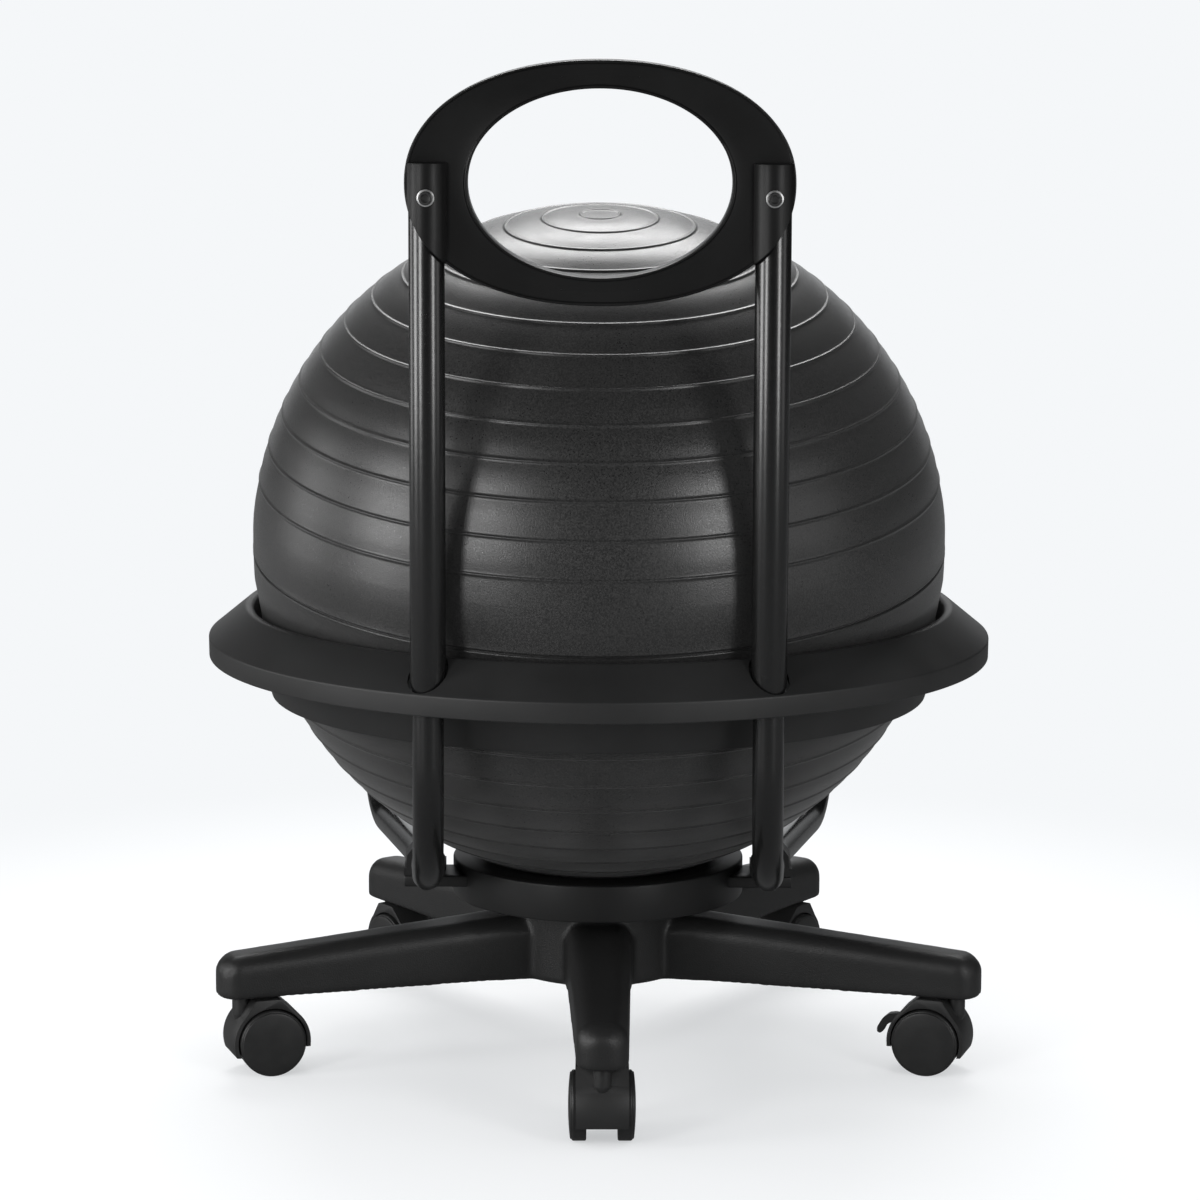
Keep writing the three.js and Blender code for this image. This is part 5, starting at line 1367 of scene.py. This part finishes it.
@dataclass
class Casters:
    """Five hooded twin-wheel casters, two with a brake lever; x runs outward along a leg from the axle."""

    base: StarBase
    trail: float = 0.0198
    wheel_radius: float = 0.025
    tread_inner: float = 0.0111
    tread_outer: float = 0.0215
    wheel_inner: float = 0.0088
    wheel_outer: float = 0.0239
    disc_radius: float = 0.0236
    hub_radius: float = 0.0075
    hood_radius: float = 0.029
    hood_half: float = 0.0187
    hood_web: float = 0.0085
    hood_front_arc: tuple[float, float, int] = (-19.5, 44.0, 22)
    hood_roof: Corners = ((0.0125, 0.0576, 0.003), (-0.0066, 0.0576, 0.004))
    hood_rear_arc: tuple[float, float, int] = (136.6, 186.0, 18)
    hood_foot: Corners = (
        (-0.0289, 0.0203, 0.0), (-0.0262, 0.0203, 0.0), (-0.012, 0.0135, 0.0), (0.012, 0.0135, 0.0),
    )
    room: float = 0.0262
    room_end: float = 0.03
    post_radius: float = 0.0064
    post_tip_radius: float = 0.0045
    post_foot: float = 0.0395
    post_shoulder: float = 0.0445
    post_top: float = 0.0584
    disc_crown: float = 0.0011
    disc_rim: float = 0.0022
    crown_power: float = 2.2
    bore_radius: float = 0.00315
    bore_end: float = 0.0209
    lever_half: float = 0.0042
    lever_gap: float = 0.0005
    lever_outline: Corners = (
        (-0.0200, 0.0410, 0.001), (-0.0262, 0.0417, 0.004), (-0.0312, 0.0409, 0.004),
        (-0.0363, 0.0366, 0.006), (-0.0399, 0.0300, 0.004), (-0.0398, 0.0266, 0.0014),
        (-0.0376, 0.0257, 0.0012), (-0.0355, 0.0270, 0.0014), (-0.0337, 0.0306, 0.005),
        (-0.0311, 0.0336, 0.004), (-0.0270, 0.0352, 0.003), (-0.0195, 0.0340, 0.001),
    )
    lever_axis: tuple[float, float] = (-0.019, 0.0375)
    slot_low: tuple[float, float] = (-0.034, 0.0295)
    slot_high: tuple[float, float] = (-0.014, 0.0445)
    eye_radius: float = 0.004
    pin_radius: float = 0.0015
    pin_half: float = 0.0082
    braked: tuple[int, ...] = (0, 1)

    def hood_outline(self) -> np.ndarray:
        """The hood from the side: round in front and behind, flat on top, open below."""
        centre = (0.0, self.wheel_radius)
        front, rear = (
            [(x, z, 0.0) for x, z in arc(centre, self.hood_radius, *span)]
            for span in (self.hood_front_arc, self.hood_rear_arc)
        )
        return rounded([*front, *self.hood_roof, *rear, *self.hood_foot])

    def hood(self, braked: bool) -> Mesh:
        """The hood: a side outline made wide, a round room cut for each wheel, and the post in front.

        Args:
            braked: Whether it has the lever's slot.

        Returns:
            The mesh, about the axle's foot on the floor.
        """
        shell = prism("hood", self.hood_outline(), -self.hood_half, self.hood_half)
        post = revolved("post", rounded([
            (0.0, self.post_foot, 0.0), (self.post_tip_radius, self.post_foot, 0.003),
            (self.post_radius, self.post_shoulder, 0.003), (self.post_radius, self.post_top, 0.0004),
            (0.0, self.post_top, 0.0),
        ], loop=False), 40)
        post.transform(Matrix.Translation((self.trail, 0.0, 0.0)))
        tools = [(Cut.JOIN, post)]
        for low, high in ((self.hood_web, self.room_end), (-self.room_end, -self.hood_web)):
            ends = ((0.0, y, self.wheel_radius) for y in (low, high))
            tools.append((Cut.AWAY, rod(*ends, self.room, 96)))
        if braked:
            half = self.lever_half + self.lever_gap
            (x0, z0), (x1, z1) = self.slot_low, self.slot_high
            tools.append((Cut.AWAY, rounded_box("slot", (x0, -half, z0), (x1, half, z1), 0.0003, 2)))
        return eased(combine(shell, *tools), 0.0005)

    def wheel(self, side: int) -> Mesh:
        """One wheel with its disc: a profile turned about the axle, its crown bulging towards the outside.

        The first material is the disc's, the second the tread's: a face belongs to the tread where its middle
        lies further from the axle than the disc, or further in than the tread's outer side.

        Args:
            side: +1 or -1 along the axle.

        Returns:
            The mesh, about the axle's foot on the floor.
        """
        crown_foot, crown_radius = self.wheel_outer - self.disc_crown, self.disc_radius - self.disc_rim
        rise = self.disc_crown * (1.0 - np.linspace(1.0, 0.0, 14) ** self.crown_power)
        crown = np.stack([np.linspace(crown_radius, 0.0, 14), crown_foot + rise], axis=-1)
        section = rounded([
            (0.0, self.bore_end, 0.0), (self.bore_radius, self.bore_end, 0.0),
            (self.bore_radius, self.wheel_inner, 0.0), (self.hub_radius, self.wheel_inner, 0.0004),
            (self.hub_radius, self.tread_inner, 0.0), (self.wheel_radius, self.tread_inner, 0.0012),
            (self.wheel_radius, self.tread_outer, 0.0014),
            (self.disc_radius + 0.0002, self.tread_outer, 0.0003),
            (self.disc_radius, self.wheel_outer - 0.0014, 0.0009), (crown_radius, crown_foot, 0.0),
        ], loop=False)
        mesh = revolved("wheel", np.concatenate([section[:-1], crown]), 96, sharp=36.0)
        centres = np.empty(len(mesh.polygons) * 3)
        mesh.polygons.foreach_get("center", centres)
        centres = centres.reshape(-1, 3)
        outer = np.hypot(centres[:, 0], centres[:, 1]) > self.disc_radius + 0.0001
        inner = centres[:, 2] < self.tread_outer - 0.001
        mesh.polygons.foreach_set("material_index", (outer | inner).astype(np.int32))
        roll = Matrix.Rotation(-math.pi / 2.0 if side > 0 else math.pi / 2.0, 4, "X")
        mesh.transform(Matrix.Translation((0.0, 0.0, self.wheel_radius)) @ roll)
        mesh.update()
        return mesh

    def lever(self) -> Mesh:
        """The brake lever: a hooked tongue behind the hood, with its eye and pin."""
        half, (x, z) = self.lever_half, self.lever_axis
        tongue = prism("lever", rounded(self.lever_outline), -half, half, 0.0005)
        eye = rod((x, -half, z), (x, half, z), self.eye_radius, 32)
        pin = rod((x, -self.pin_half, z), (x, self.pin_half, z), self.pin_radius, 20)
        return combine(tongue, (Cut.JOIN, eye), (Cut.JOIN, pin))

    def build(self, shop: Workshop) -> None:
        """Makes every caster in place on its leg."""
        hoods = {braked: self.hood(braked) for braked in (True, False)}
        wheels = {"left": self.wheel(1), "right": self.wheel(-1)}
        lever = self.lever()
        for leg in range(self.base.legs):
            name = f"caster_{leg + 1}"
            out = self.base.caster_circle - self.trail
            spot = Matrix.Rotation(self.base.leg_angle(leg), 4, "Z") @ Matrix.Translation((out, 0.0, 0.0))
            hood = placed(hoods[leg in self.braked], f"{name}_cover", spot)
            shop.piece(hood, name, "plastic", [shop.hood_plastic], f"{name}_hood")
            for word, wheel in wheels.items():
                made, body = placed(wheel, f"{name}_roller_{word}", spot), f"{name}_wheel_{word}"
                shop.piece(made, body, "wheel", [shop.wheel, shop.tread], body)
            if leg in self.braked:
                made = placed(lever, f"{name}_lever", spot)
                shop.piece(made, f"{name}_brake", "plastic", [shop.hood_plastic], f"{name}_brake_lever")
            shop.dress(f"{name}_stem", shop.steel)
            shop.dress(f"{name}_axle", shop.steel)
        for mesh in [*hoods.values(), *wheels.values(), lever]:
            bpy.data.meshes.remove(mesh)


@dataclass(frozen=True)
class Lamp:
    """A soft rectangular lamp: its direction from the target, its distance, size and power.

    The azimuth is 0 on the camera's side and grows towards -X; the rise is the angle above the horizon.
    """

    name: str
    azimuth: float
    rise: float
    distance: float
    width: float
    height: float
    power: float


@dataclass
class Studio:
    """The pale floor, the soft lamps, the world and the camera."""

    background: tuple[float, float, float, float] = (0.913, 0.930, 0.947, 1.0)
    fill: float = 0.86
    target: Point = (0.0, 0.0, 0.4)
    lamps: tuple[Lamp, ...] = (
        Lamp("lamp_back_above", 180.0, 50.0, 3.0, 2.2, 1.0, 86.0),
        Lamp("lamp_left", 70.0, 10.0, 2.6, 0.8, 1.3, 31.0),
        Lamp("lamp_front_left", 38.0, 12.0, 2.6, 0.5, 1.3, 26.0),
        Lamp("lamp_front_right", -38.0, 12.0, 2.6, 0.5, 1.3, 23.0),
        Lamp("lamp_right", -70.0, 10.0, 2.6, 0.8, 1.3, 4.0),
        Lamp("lamp_far_left", 106.0, 6.0, 2.6, 0.9, 1.1, 8.0),
    )
    floor_level: float = 0.8
    melt: tuple[float, float] = (0.32, 1.0)
    least_share: float = 0.55
    window: tuple[float, float] = (0.86, 0.99)
    mirror_share: float = 0.92
    mirror_floor: float = 0.12
    floor_radius: float = 9.0
    lens: float = 125.96
    sensor: float = 36.0
    sight: float = 60.0
    camera_place: Point = (0.00085, -3.1213, 0.8646)
    pitch: float = 9.498
    roll: float = 0.2

    def floor(self) -> None:
        """A round floor that keeps the object's shadow and melts into the background away from it.

        The material mixes a diffuse floor with the background's colour. For camera rays the background's
        share grows with the distance from the object; mirror and transmission rays see a dimmer floor, as in
        a dark room; all other rays see the diffuse floor.
        """
        radii = np.concatenate([[0.0], np.geomspace(0.3, self.floor_radius, 16)])
        points = turned(np.stack([radii, 0.0 * radii], axis=-1), 96)
        mesh = bpy.data.meshes.new("floor")
        mesh.from_pydata(points.reshape(-1, 3), [], quads(*points.shape[:2], False, True))
        floor = linked("floor", mesh)
        s = Surface("studio_floor")
        tone = s.noise(3.0, 2.0, 0.5)
        level = self.floor_level
        colour = s.tint(tone, grey(level), grey(level * 1.02))
        diffuse = s.node("ShaderNodeBsdfDiffuse", {}, {"Color": colour})
        distance = s.node("ShaderNodeVectorMath", {"operation": "LENGTH"}, {0: s.place}, "Value")
        ray = s.ray("Camera")
        sharp = (s.ray("Glossy") + s.ray("Transmission")).clamp()
        near, far = self.melt
        own = self.least_share
        share = (s.ramp(distance, near, far) * (1.0 - own) + own) * ray + sharp * self.mirror_share
        strength = ray + sharp * self.mirror_floor
        shine = s.node("ShaderNodeEmission", {}, {"Color": self.background, "Strength": strength})
        mixed = s.node("ShaderNodeMixShader", {}, {0: share, 1: diffuse, 2: shine})
        s.output("ShaderNodeOutputMaterial", mixed)
        mesh.materials.append(s.material)

    def world(self) -> None:
        """One even colour, whose strength depends on who looks.

        Strength = 1 for camera rays; for mirror and transmission rays 1 in a window straight behind the
        object and 0 elsewhere, with the window's two values of the ray's +Y part as its soft edge; and the
        fill's strength for the rest.
        """
        world = bpy.data.worlds.new("studio")
        bpy.context.scene.world = world
        world.use_nodes = True
        nodes = Nodes(world.node_tree)
        camera = nodes.ray("Camera")
        sharp = (nodes.ray("Glossy") + nodes.ray("Transmission")).clamp()
        way = nodes.node("ShaderNodeTexCoord", {}, {}, "Generated")
        ahead = nodes.node("ShaderNodeSeparateXYZ", {}, {0: way}, "Y")
        window = sharp * nodes.ramp(ahead, *self.window)
        strength = camera + window + (1.0 - camera - sharp).clamp() * self.fill
        sky = nodes.node("ShaderNodeBackground", {}, {"Color": self.background, "Strength": strength})
        nodes.output("ShaderNodeOutputWorld", sky)

    def hang(self, lamp: Lamp) -> None:
        """Hangs a lamp that looks at the target and isn't itself in the picture.

        Place = target + distance (-sin a cos r, -cos a cos r, sin r), with a the azimuth and r the rise.

        Args:
            lamp: The lamp.
        """
        a, r = math.radians(lamp.azimuth), math.radians(lamp.rise)
        way = Vector((-math.sin(a) * math.cos(r), -math.cos(a) * math.cos(r), math.sin(r)))
        data = bpy.data.lights.new(lamp.name, "AREA")
        data.shape = "RECTANGLE"
        data.size, data.size_y = lamp.width, lamp.height
        data.energy = lamp.power
        made = linked(lamp.name, data)
        made.location = Vector(self.target) + way * lamp.distance
        made.rotation_euler = (-way).to_track_quat("-Z", "Y").to_euler()
        made.visible_camera = False

    def camera(self) -> None:
        """The photograph's camera: far behind the chair, a little above it, looking down, with a long lens."""
        data = bpy.data.cameras.new("camera")
        data.lens = self.lens
        data.sensor_width = self.sensor
        data.clip_end = self.sight
        camera = linked("camera", data)
        look = Matrix.Rotation(math.radians(90.0 - self.pitch), 4, "X")
        look = look @ Matrix.Rotation(math.radians(self.roll), 4, "Z")
        camera.matrix_world = Matrix.Translation(self.camera_place) @ look
        bpy.context.scene.camera = camera

    def build(self) -> None:
        """Sets the camera, the floor, the world and the lamps."""
        self.camera()
        self.floor()
        self.world()
        for lamp in self.lamps:
            self.hang(lamp)
        bpy.context.scene.view_settings.view_transform = "Standard"


def main() -> None:
    """Builds the studio and every sub-assembly in order."""
    logging.basicConfig(level=logging.INFO, format="%(name)s: %(message)s")
    Studio().build()
    ball = Ball()
    shop = Workshop(ball.skin())
    ball.build(shop)
    SeatFrame().build(shop)
    Backrest().build(shop)
    base = StarBase()
    base.build(shop)
    Casters(base).build(shop)
    bpy.context.view_layer.update()


if __name__ == "__main__":
    main()
